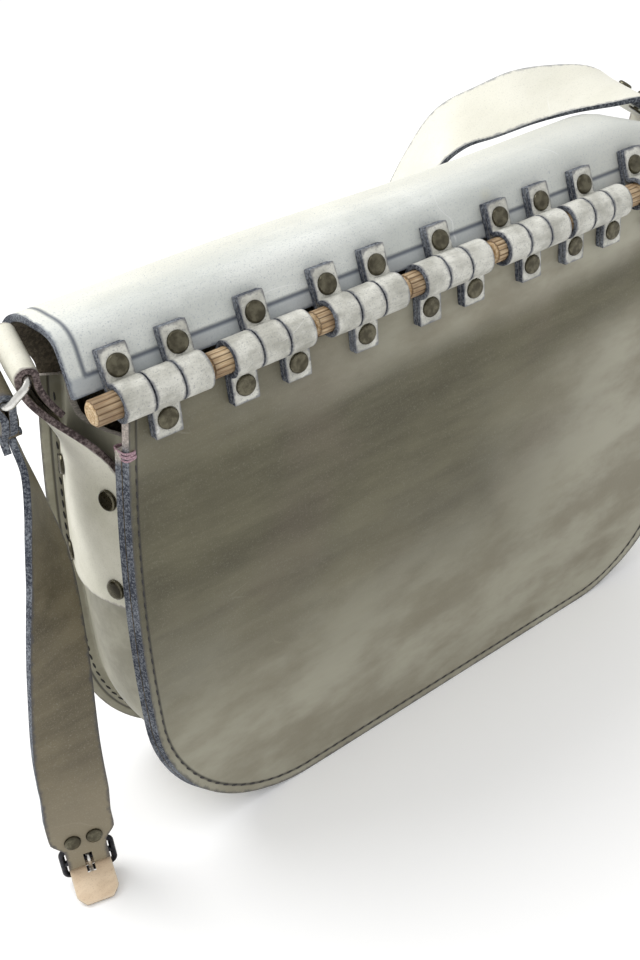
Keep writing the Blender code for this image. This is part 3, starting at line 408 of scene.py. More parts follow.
class Nodes:
    """A small writer of node trees."""

    def __init__(self, tree: bpy.types.NodeTree) -> None:
        """Start in a tree."""
        self.tree = tree

    def add(self, kind: str, **settings: object) -> bpy.types.Node:
        """Add a node.

        Args:
            kind: Its type.
            **settings: Its properties.

        Returns:
            The node.
        """
        node = self.tree.nodes.new(kind)
        for key, value in settings.items():
            setattr(node, key, value)
        return node

    def link(self, source: Socket, target: Socket) -> None:
        """Join two sockets."""
        self.tree.links.new(source, target)

    def feed(self, target: Socket, value: object) -> None:
        """Give a socket a link or a plain value."""
        if isinstance(value, Socket):
            self.link(value, target)
        else:
            target.default_value = value

    def math(self, operation: str, first: object, second: object = 0.0,
             clamp: bool = False) -> Socket:
        """Add a Math node.

        Args:
            operation: What it does.
            first: Its first value or link.
            second: Its second value or link.
            clamp: Keep the result from 0 to 1.

        Returns:
            Its result.
        """
        node = self.add("ShaderNodeMath", operation=operation, use_clamp=clamp)
        self.feed(node.inputs[0], first)
        self.feed(node.inputs[1], second)
        return node.outputs[0]

    def times(self, first: object, second: object) -> Socket:
        """Product of two values or links."""
        return self.math("MULTIPLY", first, second)

    def plus(self, first: object, second: object, clamp: bool = False) -> Socket:
        """Sum of two values or links, kept from 0 to 1 if clamp is set."""
        return self.math("ADD", first, second, clamp)

    def minus(self, first: object, second: object) -> Socket:
        """First value or link less the second."""
        return self.math("SUBTRACT", first, second)

    def split(self, vector: Socket) -> tuple[Socket, Socket, Socket]:
        """X, Y and Z of a vector."""
        parts = self.add("ShaderNodeSeparateXYZ")
        self.link(vector, parts.inputs["Vector"])
        return parts.outputs["X"], parts.outputs["Y"], parts.outputs["Z"]

    def bump(self, shader: bpy.types.Node, height: Socket, strength: float, depth: float) -> None:
        """Give a shader's surface a height.

        Args:
            shader: The shader.
            height: The height.
            strength: How much of it shows.
            depth: Its depth in metres.
        """
        node = self.add("ShaderNodeBump")
        node.inputs["Strength"].default_value = strength
        node.inputs["Distance"].default_value = depth
        self.link(height, node.inputs["Height"])
        self.link(node.outputs["Normal"], shader.inputs["Normal"])

    def ease(self, value: object, low: object, high: object, first: float = 0.0,
             last: float = 1.0) -> Socket:
        """Map a value smoothly between two limits.

        Args:
            value: What is mapped.
            low: Lower limit.
            high: Upper limit.
            first: Result at the lower limit.
            last: Result at the upper limit.

        Returns:
            The mapped value.
        """
        node = self.add("ShaderNodeMapRange", interpolation_type="SMOOTHSTEP")
        self.feed(node.inputs["Value"], value)
        self.feed(node.inputs["From Min"], low)
        self.feed(node.inputs["From Max"], high)
        node.inputs["To Min"].default_value = first
        node.inputs["To Max"].default_value = last
        return node.outputs["Result"]

    def mix(self, factor: object, first: object, second: object,
            blend: str = "MIX") -> Socket:
        """Mix two colours.

        Args:
            factor: How much of the second.
            first: First colour or link.
            second: Second colour or link.
            blend: Way of mixing.

        Returns:
            The mixed colour.
        """
        node = self.add("ShaderNodeMix", data_type="RGBA", blend_type=blend)
        self.feed(node.inputs[0], factor)
        for socket, value in ((node.inputs[6], first), (node.inputs[7], second)):
            self.feed(socket, (*value, 1.0) if isinstance(value, tuple) else value)
        return node.outputs[2]

    def noise(self, vector: Socket, scale: object, detail: float = 4.0,
              rough: float = 0.5) -> Socket:
        """Add a noise.

        Args:
            vector: Where it is read.
            scale: Its scale or a link.
            detail: Number of finer layers.
            rough: How strong these are.

        Returns:
            Its value.
        """
        node = self.add("ShaderNodeTexNoise")
        self.link(vector, node.inputs["Vector"])
        self.feed(node.inputs["Scale"], scale)
        node.inputs["Detail"].default_value = detail
        node.inputs["Roughness"].default_value = rough
        return node.outputs["Fac"]

    def stretch(self, vector: Socket, scale: Colour,
                turn: Colour = (0.0, 0.0, 0.0)) -> Socket:
        """Turn and stretch coordinates.

        Args:
            vector: The coordinates.
            scale: Scale on each axis.
            turn: Turn about each axis, in degrees.

        Returns:
            The new coordinates.
        """
        node = self.add("ShaderNodeMapping")
        self.link(vector, node.inputs["Vector"])
        node.inputs["Scale"].default_value = scale
        node.inputs["Rotation"].default_value = tuple(math.radians(angle) for angle in turn)
        return node.outputs["Vector"]


class Effects:
    """Node groups that several finishes use."""

    _made: dict[str, bpy.types.NodeTree] = {}

    @classmethod
    def _start(cls, name: str, inputs: Sequence[tuple[str, str]],
               outputs: Sequence[str]) -> tuple[Nodes, bpy.types.Node, bpy.types.Node]:
        """Open a new group.

        Args:
            name: Its name.
            inputs: Names and socket types of its inputs.
            outputs: Names of its values.

        Returns:
            Its writer, its input node and its output node.
        """
        tree = bpy.data.node_groups.new(name, "ShaderNodeTree")
        for label, kind in inputs:
            tree.interface.new_socket(name=label, in_out="INPUT", socket_type=kind)
        for label in outputs:
            tree.interface.new_socket(name=label, in_out="OUTPUT", socket_type="NodeSocketFloat")
        nodes = Nodes(tree)
        cls._made[name] = tree
        return nodes, nodes.add("NodeGroupInput"), nodes.add("NodeGroupOutput")

    @classmethod
    def hide(cls) -> bpy.types.NodeTree:
        """Clouds, streaks, specks, scratches and the height of the grain of a hide."""
        if "Hide" in cls._made:
            return cls._made["Hide"]
        nodes, given, out = cls._start(
            "Hide", (("Vector", "NodeSocketVector"), ("Cloud Scale", "NodeSocketFloat"),
                     ("Grain Scale", "NodeSocketFloat")),
            ("Cloud", "Streak", "Speck", "Scratch", "Height"))
        vector = given.outputs["Vector"]
        cloud = nodes.noise(vector, given.outputs["Cloud Scale"], 5.0, 0.55)
        nodes.link(nodes.ease(cloud, 0.36, 0.64), out.inputs["Cloud"])
        drawn = nodes.stretch(vector, (0.16, 1.0, 1.0))
        streak = nodes.noise(drawn, nodes.times(given.outputs["Cloud Scale"], 4.0), 6.0, 0.68)
        nodes.link(nodes.ease(streak, 0.34, 0.68), out.inputs["Streak"])
        speck = nodes.noise(vector, nodes.times(given.outputs["Grain Scale"], 1.5), 3.0, 0.7)
        nodes.link(nodes.ease(speck, 0.52, 0.72), out.inputs["Speck"])
        line = nodes.noise(nodes.stretch(vector, (1.0, 1.0, 2.2), (11.0, 24.0, 7.0)), 17.0, 0.6, 0.4)
        thin = nodes.ease(nodes.math("ABSOLUTE", nodes.minus(line, 0.5)), 0.0, 0.0035, 1.0, 0.0)
        where = nodes.ease(nodes.noise(vector, 31.0, 2.0), 0.56, 0.66)
        nodes.link(nodes.times(thin, where), out.inputs["Scratch"])
        pore = nodes.add("ShaderNodeTexVoronoi", feature="SMOOTH_F1")
        nodes.link(vector, pore.inputs["Vector"])
        nodes.link(given.outputs["Grain Scale"], pore.inputs["Scale"])
        wrinkle = nodes.noise(vector, nodes.times(given.outputs["Grain Scale"], 0.22), 5.0, 0.62)
        grain = nodes.times(pore.outputs["Distance"], 0.35)
        nodes.link(nodes.plus(grain, nodes.times(wrinkle, 0.8)), out.inputs["Height"])
        return nodes.tree

    @classmethod
    def margin(cls) -> bpy.types.NodeTree:
        """A soft band beside a cut edge, its inner side broken up."""
        if "Margin" in cls._made:
            return cls._made["Margin"]
        nodes, given, out = cls._start(
            "Margin", (("Distance", "NodeSocketFloat"), ("Width", "NodeSocketFloat"),
                       ("Vector", "NodeSocketVector")), ("Mask",))
        broken = nodes.minus(nodes.noise(given.outputs["Vector"], 260.0, 4.0, 0.65), 0.5)
        shift = nodes.times(broken, nodes.times(given.outputs["Width"], 2.2))
        place = nodes.plus(given.outputs["Distance"], shift)
        nodes.link(nodes.ease(place, 0.0, given.outputs["Width"], 1.0, 0.0), out.inputs["Mask"])
        return nodes.tree

    @classmethod
    def groove(cls) -> bpy.types.NodeTree:
        """A line pressed into the leather beside its edge."""
        if "Groove" in cls._made:
            return cls._made["Groove"]
        nodes, given, out = cls._start(
            "Groove", (("Distance", "NodeSocketFloat"), ("Place", "NodeSocketFloat"),
                       ("Width", "NodeSocketFloat")), ("Mask",))
        off = nodes.math("ABSOLUTE", nodes.minus(given.outputs["Distance"], given.outputs["Place"]))
        nodes.link(nodes.ease(off, 0.0, given.outputs["Width"], 1.0, 0.0), out.inputs["Mask"])
        return nodes.tree


def open_material(name: str) -> tuple[Material, Nodes, bpy.types.Node]:
    """Start a material with one shader.

    Args:
        name: Its name.

    Returns:
        The material, the writer of its tree and its shader.
    """
    material = bpy.data.materials.new(name)
    material.use_nodes = True
    nodes = Nodes(material.node_tree)
    return material, nodes, material.node_tree.nodes["Principled BSDF"]


Zone = Callable[[Nodes, Socket, Socket], Socket]


# Finishes

@dataclass(frozen=True)
class LeatherFinish:
    """Dyed and waxed grain side of leather."""

    name: str
    dark: Colour
    light: Colour
    speck: Colour
    rim: Colour
    rim_width: float = 2.0 * MM
    cloud_scale: float = 16.0
    grain_scale: float = 900.0
    streak_share: float = 0.45
    speck_share: float = 0.35
    roughness: float = 0.52
    bump: float = 0.10
    groove_at: float = 0.0
    groove_width: float = 1.1 * MM
    groove_colour: Colour = (0.05, 0.055, 0.07)
    zone: Zone | None = None

    def material(self) -> Material:
        """Build the material.

        Returns:
            The finished material.
        """
        material, nodes, shader = open_material(self.name)
        place = nodes.add("ShaderNodeTexCoord").outputs["Object"]
        hide = nodes.add("ShaderNodeGroup", node_tree=Effects.hide())
        nodes.link(place, hide.inputs["Vector"])
        hide.inputs["Cloud Scale"].default_value = self.cloud_scale
        hide.inputs["Grain Scale"].default_value = self.grain_scale
        share = nodes.plus(nodes.times(hide.outputs["Cloud"], 1.0 - self.streak_share),
                           nodes.times(hide.outputs["Streak"], self.streak_share), clamp=True)
        colour = nodes.mix(share, self.dark, self.light)
        if self.zone is not None:
            colour = self.zone(nodes, place, colour)
        colour = nodes.mix(nodes.times(hide.outputs["Speck"], self.speck_share), colour, self.speck)
        colour = nodes.mix(nodes.times(hide.outputs["Scratch"], 0.35), colour,
                           tuple(min(1.0, c * 1.35 + 0.08) for c in self.light))
        distance = nodes.add("ShaderNodeAttribute", attribute_name="edge_distance").outputs["Fac"]
        margin = nodes.add("ShaderNodeGroup", node_tree=Effects.margin())
        nodes.link(distance, margin.inputs["Distance"])
        nodes.link(place, margin.inputs["Vector"])
        margin.inputs["Width"].default_value = self.rim_width
        colour = nodes.mix(nodes.times(margin.outputs["Mask"], 0.75), colour, self.rim)
        height = hide.outputs["Height"]
        if self.groove_at > 0.0:
            groove = nodes.add("ShaderNodeGroup", node_tree=Effects.groove())
            nodes.link(distance, groove.inputs["Distance"])
            groove.inputs["Place"].default_value = self.groove_at
            groove.inputs["Width"].default_value = self.groove_width
            colour = nodes.mix(nodes.times(groove.outputs["Mask"], 0.85), colour, self.groove_colour)
            height = nodes.minus(height, nodes.times(groove.outputs["Mask"], 3.0))
        nodes.link(colour, shader.inputs["Base Color"])
        rough = nodes.plus(nodes.times(hide.outputs["Cloud"], 0.12), self.roughness - 0.06)
        nodes.link(rough, shader.inputs["Roughness"])
        nodes.bump(shader, height, 0.55, self.bump * MM * 2.0)
        shader.inputs["Specular IOR Level"].default_value = 0.35
        return material


@dataclass(frozen=True)
class RawFinish:
    """Flesh side or cut edge of leather: fibrous and matt."""

    name: str
    dark: Colour
    light: Colour
    scale: float = 600.0
    roughness: float = 0.9
    bump: float = 0.35
    top_colour: Colour | None = None
    top_from: float = 0.229

    def material(self) -> Material:
        """Build the material.

        Returns:
            The finished material.
        """
        material, nodes, shader = open_material(self.name)
        place = nodes.add("ShaderNodeTexCoord").outputs["Object"]
        fibre = nodes.noise(place, self.scale, 6.0, 0.72)
        cloud = nodes.noise(place, 60.0, 3.0)
        tint = nodes.ease(cloud, 0.35, 0.7, -0.25, 0.25)
        share = nodes.plus(nodes.ease(fibre, 0.38, 0.66), tint, clamp=True)
        colour = nodes.mix(share, self.dark, self.light)
        if self.top_colour is not None:
            upper = nodes.mix(share, tuple(c * 0.55 for c in self.top_colour), self.top_colour)
            above = nodes.ease(nodes.split(place)[2], self.top_from, self.top_from + 7 * MM)
            colour = nodes.mix(above, colour, upper)
        nodes.link(colour, shader.inputs["Base Color"])
        rough = nodes.ease(fibre, 0.3, 0.7, self.roughness, self.roughness - 0.12)
        nodes.link(rough, shader.inputs["Roughness"])
        nodes.bump(shader, fibre, 0.8, self.bump * MM)
        shader.inputs["Specular IOR Level"].default_value = 0.2
        return material


@dataclass(frozen=True)
class WoodFinish:
    """Bare beech with growth rings on its ends and darker flute bottoms."""

    name: str
    dark: Colour
    light: Colour
    axis: Vector

    def material(self) -> Material:
        """Build the material.

        Returns:
            The finished material.
        """
        material, nodes, shader = open_material(self.name)
        place = nodes.add("ShaderNodeTexCoord").outputs["Object"]
        centred = nodes.add("ShaderNodeMapping")
        nodes.link(place, centred.inputs["Vector"])
        centred.inputs["Location"].default_value = (0.0, -self.axis.y, -self.axis.z)
        grain = nodes.noise(nodes.stretch(centred.outputs["Vector"], (0.06, 1.0, 1.0)), 900.0, 5.0, 0.65)
        _, y, z = nodes.split(centred.outputs["Vector"])
        across = nodes.math("POWER", y, 2.0)
        upward = nodes.math("POWER", z, 2.0)
        radius = nodes.math("SQRT", nodes.plus(across, upward))
        wobble = nodes.times(nodes.noise(centred.outputs["Vector"], 160.0, 2.0), 0.0011)
        rings = nodes.math("SINE", nodes.times(nodes.plus(radius, wobble), 5200.0))
        share = nodes.plus(nodes.ease(grain, 0.35, 0.68), nodes.times(rings, 0.22), clamp=True)
        colour = nodes.mix(share, self.dark, self.light)
        # The bottoms of the flutes are made darker.
        deep = nodes.ease(radius, 5.42 * MM, 5.95 * MM, 1.0, 0.0)
        side = nodes.ease(radius, 5.2 * MM, 5.4 * MM)
        flute_darkening = nodes.times(nodes.times(deep, side), 0.8)
        colour = nodes.mix(flute_darkening, colour, tuple(c * 0.28 for c in self.dark))
        used = nodes.times(nodes.ease(nodes.noise(place, 60.0, 2.0), 0.30, 0.62), side)
        colour = nodes.mix(nodes.times(used, 0.72), colour, (0.155, 0.088, 0.042))
        nodes.link(colour, shader.inputs["Base Color"])
        nodes.link(nodes.ease(grain, 0.3, 0.7, 0.72, 0.55), shader.inputs["Roughness"])
        nodes.bump(shader, grain, 0.6, 0.15 * MM)
        return material


@dataclass(frozen=True)
class MetalFinish:
    """Plated or blackened metal with a handled surface."""

    name: str
    dark: Colour
    light: Colour
    roughness: float
    scale: float = 240.0

    def material(self) -> Material:
        """Build the material.

        Returns:
            The finished material.
        """
        material, nodes, shader = open_material(self.name)
        place = nodes.add("ShaderNodeTexCoord").outputs["Object"]
        worn = nodes.ease(nodes.noise(place, self.scale, 4.0, 0.6), 0.35, 0.68)
        fine = nodes.noise(place, self.scale * 8.0, 3.0, 0.6)
        nodes.link(nodes.mix(worn, self.dark, self.light), shader.inputs["Base Color"])
        rough = nodes.ease(worn, 0.0, 1.0, self.roughness + 0.12, self.roughness)
        nodes.link(rough, shader.inputs["Roughness"])
        shader.inputs["Metallic"].default_value = 1.0
        nodes.bump(shader, fine, 0.35, 0.03 * MM)
        return material


@dataclass(frozen=True)
class ThreadFinish:
    """Waxed thread."""

    name: str
    dark: Colour
    light: Colour

    def material(self) -> Material:
        """Build the material.

        Returns:
            The finished material.
        """
        material, nodes, shader = open_material(self.name)
        place = nodes.add("ShaderNodeTexCoord").outputs["Object"]
        twist = nodes.noise(place, 2200.0, 3.0, 0.6)
        colour = nodes.mix(nodes.ease(twist, 0.35, 0.65), self.dark, self.light)
        nodes.link(colour, shader.inputs["Base Color"])
        nodes.link(nodes.ease(twist, 0.3, 0.7, 0.75, 0.5), shader.inputs["Roughness"])
        nodes.bump(shader, twist, 0.6, 0.1 * MM)
        return material


def front_zone(nodes: Nodes, place: Socket,
               colour: Socket) -> Socket:
    """Lighter wear below the hinge, painted floor light along the lower edge and a paler patch at the lower right
    of the front.

    Args:
        nodes: Writer of the material.
        place: Object coordinates.
        colour: Colour so far.

    Returns:
        The colour with the wear and the painted floor light.
    """
    x, _, z = nodes.split(place)
    wander = nodes.times(nodes.noise(place, 9.0, 3.0), 0.03)
    height = nodes.plus(z, wander)
    to_right = nodes.ease(x, -0.17, 0.06, 0.25, 1.0)
    upper = nodes.times(nodes.ease(height, 0.226, 0.250), to_right)
    # Painted light: the front grows lighter towards the bottom, as if lit from the floor.
    lower = nodes.ease(height, 0.185, 0.045, 0.0, 0.95)
    right = nodes.ease(nodes.minus(x, nodes.times(height, 0.6)),
                       -0.12, 0.06, 0.0, 0.95)
    patch = nodes.times(right, nodes.ease(height, 0.220, 0.185))
    # Mask of the wear below the hinge together with the painted floor light and the lower right patch.
    wear_and_floor_light = nodes.math("MAXIMUM", nodes.math("MAXIMUM", upper, lower), patch)
    mottle = nodes.noise(nodes.stretch(place, (0.6, 1.0, 1.3)), 17.0, 5.0, 0.6)
    # Lighter colour used for both the wear and the painted floor light.
    worn = nodes.mix(nodes.ease(mottle, 0.36, 0.62), (0.275, 0.252, 0.188), (0.430, 0.413, 0.328))
    ruddy = nodes.ease(nodes.noise(place, 9.0, 3.0), 0.50, 0.66, 0.0, 0.45)
    colour = nodes.mix(ruddy, colour, nodes.mix(0.6, colour, (0.165, 0.130, 0.105)))
    return nodes.mix(wear_and_floor_light, colour, nodes.mix(0.88, colour, worn))


def strap_zone(nodes: Nodes, place: Socket,
               colour: Socket) -> Socket:
    """Painted shade at the top near the ring and a paler end at the buckle on the hanging strap.

    Args:
        nodes: Writer of the material.
        place: Object coordinates.
        colour: Colour so far.

    Returns:
        The colour of the strap.
    """
    height = nodes.plus(nodes.split(place)[2], nodes.times(nodes.noise(place, 14.0, 3.0), 0.03))
    colour = nodes.mix(nodes.ease(height, 0.125, 0.035, 0.0, 0.85), colour, (0.285, 0.245, 0.17))
    # Painted shade: the strap grows darker towards its top near the ring.
    return nodes.mix(nodes.ease(height, 0.205, 0.245, 0.0, 0.45), colour, (0.07, 0.06, 0.04))


def flap_zone(nodes: Nodes, place: Socket,
              colour: Socket) -> Socket:
    """Olive back, cream crest, cooler front, painted shade towards the right end and a yellowish spot on the
    flap.

    Args:
        nodes: Writer of the material.
        place: Object coordinates.
        colour: Colour so far.

    Returns:
        The colour of the sheet.
    """
    x, y, z = nodes.split(place)
    warm = nodes.ease(y, 0.010, 0.045, 0.0, 0.6)
    colour = nodes.mix(warm, colour, (0.82, 0.80, 0.68))
    band = nodes.times(nodes.ease(z, 0.2745, 0.2725),
                      nodes.ease(y, 0.020, 0.012))
    colour = nodes.mix(nodes.times(band, 0.55), colour, (0.30, 0.33, 0.37))
    # Painted shade: the flap grows darker towards its right end.
    right_end_shade = nodes.ease(x, -0.02, 0.17, 0.0, 0.70)
    colour = nodes.mix(right_end_shade, colour, (0.55, 0.56, 0.52))
    away = nodes.add("ShaderNodeVectorMath", operation="DISTANCE")
    nodes.link(place, away.inputs[0])
    away.inputs[1].default_value = (0.043, 0.004, 0.287)
    spot = nodes.ease(away.outputs["Value"], 0.002, 0.008, 0.45, 0.0)
    colour = nodes.mix(spot, colour, (0.72, 0.66, 0.36))
    back = nodes.times(nodes.ease(z, 0.27, 0.20),
                      nodes.ease(y, 0.06, 0.075))
    return nodes.mix(nodes.times(back, 0.9), colour, nodes.mix(0.75, colour, (0.25, 0.235, 0.18), "MULTIPLY"))


@dataclass(frozen=True)
class Wardrobe:
    """All finishes of the bag, built once."""

    front: Dress
    flap: Dress
    gusset: Dress
    anchor: Dress
    loop: Dress
    short_strap: Dress
    long_strap: Dress
    tongue: Dress
    beech: Material
    nickel: Material
    brass: Material
    iron: Material
    black_thread: Material
    pink_thread: Material

    @classmethod
    def make(cls) -> "Wardrobe":
        """Build every finish.

        Returns:
            The wardrobe.
        """
        flesh = RawFinish("Flesh side", (0.10, 0.085, 0.06), (0.26, 0.22, 0.16)).material()
        blue_edge = RawFinish("Blue grey edge", (0.035, 0.04, 0.055), (0.26, 0.28, 0.31), 900.0).material()
        purple_edge = RawFinish("Purple brown edge", (0.055, 0.04, 0.04), (0.30, 0.24, 0.23),
                                700.0).material()
        gusset_edge = RawFinish("Gusset edge", (0.035, 0.04, 0.055), (0.26, 0.28, 0.31), 900.0,
                                top_colour=(0.74, 0.68, 0.60)).material()
        panel_edge = RawFinish("Panel edge", (0.035, 0.04, 0.055), (0.26, 0.28, 0.31), 900.0,
                               top_colour=(0.70, 0.62, 0.56), top_from=0.236).material()
        tan_edge = RawFinish("Tan edge", (0.45, 0.33, 0.22), (0.80, 0.68, 0.52), 800.0).material()
        # Painted shade: the front's dark olive colours make it darker than the flap for the shade that it stands
        # in.
        front = LeatherFinish("Olive front leather", (0.072, 0.065, 0.038), (0.150, 0.139, 0.088),
                              (0.34, 0.33, 0.27), (0.07, 0.07, 0.075), cloud_scale=13.0, streak_share=0.6,
                              speck_share=0.25, groove_at=5.0 * MM, groove_width=1.3 * MM,
                              groove_colour=(0.035, 0.033, 0.028), rim_width=2.0 * MM, zone=front_zone)
        flap = LeatherFinish("Pale flap leather", (0.55, 0.575, 0.545), (0.80, 0.82, 0.785),
                             (0.34, 0.38, 0.42), (0.13, 0.155, 0.20), speck_share=0.7, streak_share=0.45,
                             rim_width=1.6 * MM, groove_at=7.8 * MM, groove_width=1.9 * MM,
                             groove_colour=(0.06, 0.075, 0.11), zone=flap_zone)
        gusset = LeatherFinish("Cream gusset leather", (0.21, 0.20, 0.145), (0.40, 0.385, 0.30),
                               (0.26, 0.25, 0.20), (0.13, 0.12, 0.11), streak_share=0.4, groove_at=5.0 * MM,
                               groove_colour=(0.05, 0.045, 0.04), rim_width=1.6 * MM)
        anchor = LeatherFinish("Cream anchor leather", (0.60, 0.585, 0.47), (0.82, 0.80, 0.69),
                               (0.34, 0.32, 0.27), (0.16, 0.13, 0.13), streak_share=0.3, rim_width=1.8 * MM)
        loop = LeatherFinish("Pale loop leather", (0.40, 0.395, 0.345), (0.76, 0.755, 0.69),
                             (0.20, 0.21, 0.23), (0.085, 0.09, 0.115), cloud_scale=70.0, speck_share=0.7,
                             rim_width=1.5 * MM, streak_share=0.35)
        strap = LeatherFinish("Olive strap leather", (0.082, 0.068, 0.040), (0.185, 0.158, 0.100),
                              (0.36, 0.34, 0.28), (0.06, 0.06, 0.07), cloud_scale=20.0, rim_width=2.2 * MM,
                              zone=strap_zone)
        pale = LeatherFinish("Cream strap leather", (0.78, 0.765, 0.66), (0.87, 0.855, 0.76),
                             (0.42, 0.42, 0.40), (0.20, 0.21, 0.24), speck_share=0.3, rim_width=1.8 * MM)
        tan = LeatherFinish("Tan leather", (0.66, 0.50, 0.34), (0.82, 0.66, 0.48),
                            (0.36, 0.22, 0.12), (0.72, 0.62, 0.48), cloud_scale=60.0, rim_width=1.2 * MM,
                            roughness=0.7)
        olive, cream = front.material(), gusset.material()
        loops = loop.material()
        return cls(
            front=Dress(olive, flesh, panel_edge), flap=Dress(flap.material(), flesh, blue_edge),
            gusset=Dress(cream, flesh, gusset_edge), anchor=Dress(anchor.material(), flesh, purple_edge),
            loop=Dress(loops, loops, blue_edge), short_strap=Dress(strap.material(), flesh, blue_edge),
            long_strap=Dress(pale.material(), flesh, blue_edge),
            tongue=Dress(tan.material(), tan_edge, tan_edge),
            beech=WoodFinish("Beech", (0.42, 0.27, 0.13), (0.76, 0.60, 0.39),
                             Vector((0.0, Hinge.Y, Hinge.Z))).material(),
            nickel=MetalFinish("Nickel", (0.50, 0.49, 0.46), (0.74, 0.73, 0.70), 0.22).material(),
            brass=MetalFinish("Dark brass", (0.060, 0.054, 0.038), (0.13, 0.12, 0.085), 0.24).material(),
            iron=MetalFinish("Black iron", (0.02, 0.02, 0.024), (0.05, 0.05, 0.055), 0.38).material(),
            black_thread=ThreadFinish("Black thread", (0.012, 0.011, 0.012), (0.04, 0.036, 0.036)).material(),
            pink_thread=ThreadFinish("Plum thread", (0.30, 0.17, 0.21), (0.52, 0.36, 0.40)).material(),
        )


# Pattern of the body, which the panels, the gusset and the seams share

class Hinge:
    """Place of the dowels' axis."""

    Y = -5.75 * MM
    Z = 262.0 * MM

    @classmethod
    def at(cls, x: float = 0.0) -> Vector:
        """Point of the dowels' axis."""
        return Vector((x, cls.Y, cls.Z))


@dataclass(frozen=True)
class Pattern:
    """Sizes and outline of the front and back panels."""

    width: float = 389.0 * MM
    depth: float = 78.5 * MM
    corner: float = 86.0 * MM
    taper: float = 16.5 * MM
    top: float = 252.5 * MM
    curl: float = 2.8 * MM
    curl_width: float = 12.0 * MM
    panel: float = 3.5 * MM
    seam_margin: float = 9.0 * MM
    bulge: float = 8.0 * MM
    flange_y: float = 3.98 * MM
    wall_inset: float = 10.75 * MM
    gusset_top: float = 237.0 * MM
    fold: float = 3.5 * MM

    def half_width(self, z: float) -> float:
        """Half the width of a panel at a height."""
        if z >= self.corner:
            rise = (z - self.corner) / (self.top - self.corner)
            return self.width / 2 - self.taper * rise * rise
        drop = self.corner - max(z, 0.0)
        return self.width / 2 - self.corner + math.sqrt(max(self.corner ** 2 - drop ** 2, 0.0))

    def inset(self, x: float, z: float) -> float:
        """Distance of a point of a panel from its sewn edge."""
        centre = self.width / 2 - self.corner
        if z < self.corner and abs(x) > centre:
            return max(self.corner - math.hypot(abs(x) - centre, self.corner - z), 0.0)
        if z >= self.corner:
            return max(self.half_width(z) - abs(x), 0.0)
        return max(z, 0.0)

    def seam_curl(self, x: float, z: float) -> tuple[float, float]:
        """How far the margin turns away from the bag, and its slope.

        Args:
            x: Place along the bag.
            z: Height.

        Returns:
            The offset and the slope.
        """
        centre = self.width / 2 - self.corner
        if z < self.corner and abs(x) <= centre:
            return 0.0, 0.0
        inset = self.inset(x, z)
        sideways = 1.0
        if z < self.corner:
            reach = math.hypot(abs(x) - centre, self.corner - z)
            sideways = (abs(x) - centre) / max(reach, 1e-6)
        if inset >= self.curl_width:
            return 0.0, 0.0
        weight = smoothstep(0.3, 0.9, sideways)
        left = 1.0 - inset / self.curl_width
        return self.curl * weight * left ** 2, 2.0 * self.curl * weight * left / self.curl_width

    def heights(self, top: float, corner_steps: int = 26, side_steps: int = 44) -> list[float]:
        """Heights of the rows of a panel.

        Args:
            top: Height of the last row.
            corner_steps: Rows round the corner.
            side_steps: Rows above it.

        Returns:
            The heights from the bottom up.
        """
        rows = [self.corner * (1.0 - math.cos(math.pi / 2 * k / corner_steps)) for k in range(corner_steps)]
        rows += [self.corner + (top - self.corner) * k / side_steps for k in range(side_steps + 1)]
        return rows

    def columns(self, half: float, middle_steps: int = 76) -> list[float]:
        """Offsets along X of a row, close together in the margins."""
        margin = [0.0, 0.9, 1.8, 2.7, 3.6, 4.4, 5.2, 6.2, 7.5, 9.0, 10.5, 12.0]
        left = [-half + step * MM for step in margin]
        inner = half - self.curl_width
        middle = [-inner + 2.0 * inner * k / middle_steps for k in range(1, middle_steps)]
        return left + middle + [-x for x in reversed(left)]

    def wall_x(self, y: float, z: float) -> float:
        """Distance from the middle of the bag to the gusset's outer face."""
        start = self.flange_y + self.fold
        share = min(max((y - start) / (self.depth - 2 * start), 0.0), 1.0)
        return self.half_width(z) - self.wall_inset + self.bulge_at(z, share) + self.panel / 2

    def bulge_at(self, z: float, share: float) -> float:
        """How far the gusset bellies outwards at a height, a share of the way to the back."""
        return self.bulge * smoothstep(20 * MM, 110 * MM, z) * math.sin(math.pi * share)

    def seam(self, inset: float, top: float, pitch: float) -> list[tuple[Vector, Vector, Vector]]:
        """Places of stitches along the sewn edge.

        Args:
            inset: Distance from the edge.
            top: Height of the first and last stitch.
            pitch: Distance between stitches.

        Returns:
            For each stitch its point (with y at 0), the way along and the way outwards.
        """
        path: list[Vector] = []
        steps = 120
        for k in range(steps + 1):
            z = top + (self.corner - top) * k / steps
            path.append(Vector((-(self.half_width(z) - inset), 0.0, z)))
        centre = self.width / 2 - self.corner
        for k in range(1, 91):
            turn = math.pi / 2 * k / 90
            path.append(Vector((-centre - math.cos(turn) * (self.corner - inset), 0.0,
                                self.corner - math.sin(turn) * (self.corner - inset))))
        path += [Vector((-centre + 2 * centre * k / 200, 0.0, inset)) for k in range(1, 200)]
        path += [Vector((-p.x, 0.0, p.z)) for p in reversed(path[:steps + 91])]
        places = []
        walked, due = 0.0, 0.0
        for a, b in zip(path, path[1:]):
            step = (b - a).length
            while due <= walked + step and step > 0.0:
                point = a.lerp(b, (due - walked) / step)
                along = (b - a).normalized()
                places.append((point, along, Vector((along.z, 0.0, -along.x))))
                due += pitch
            walked += step
        return places


# Panels

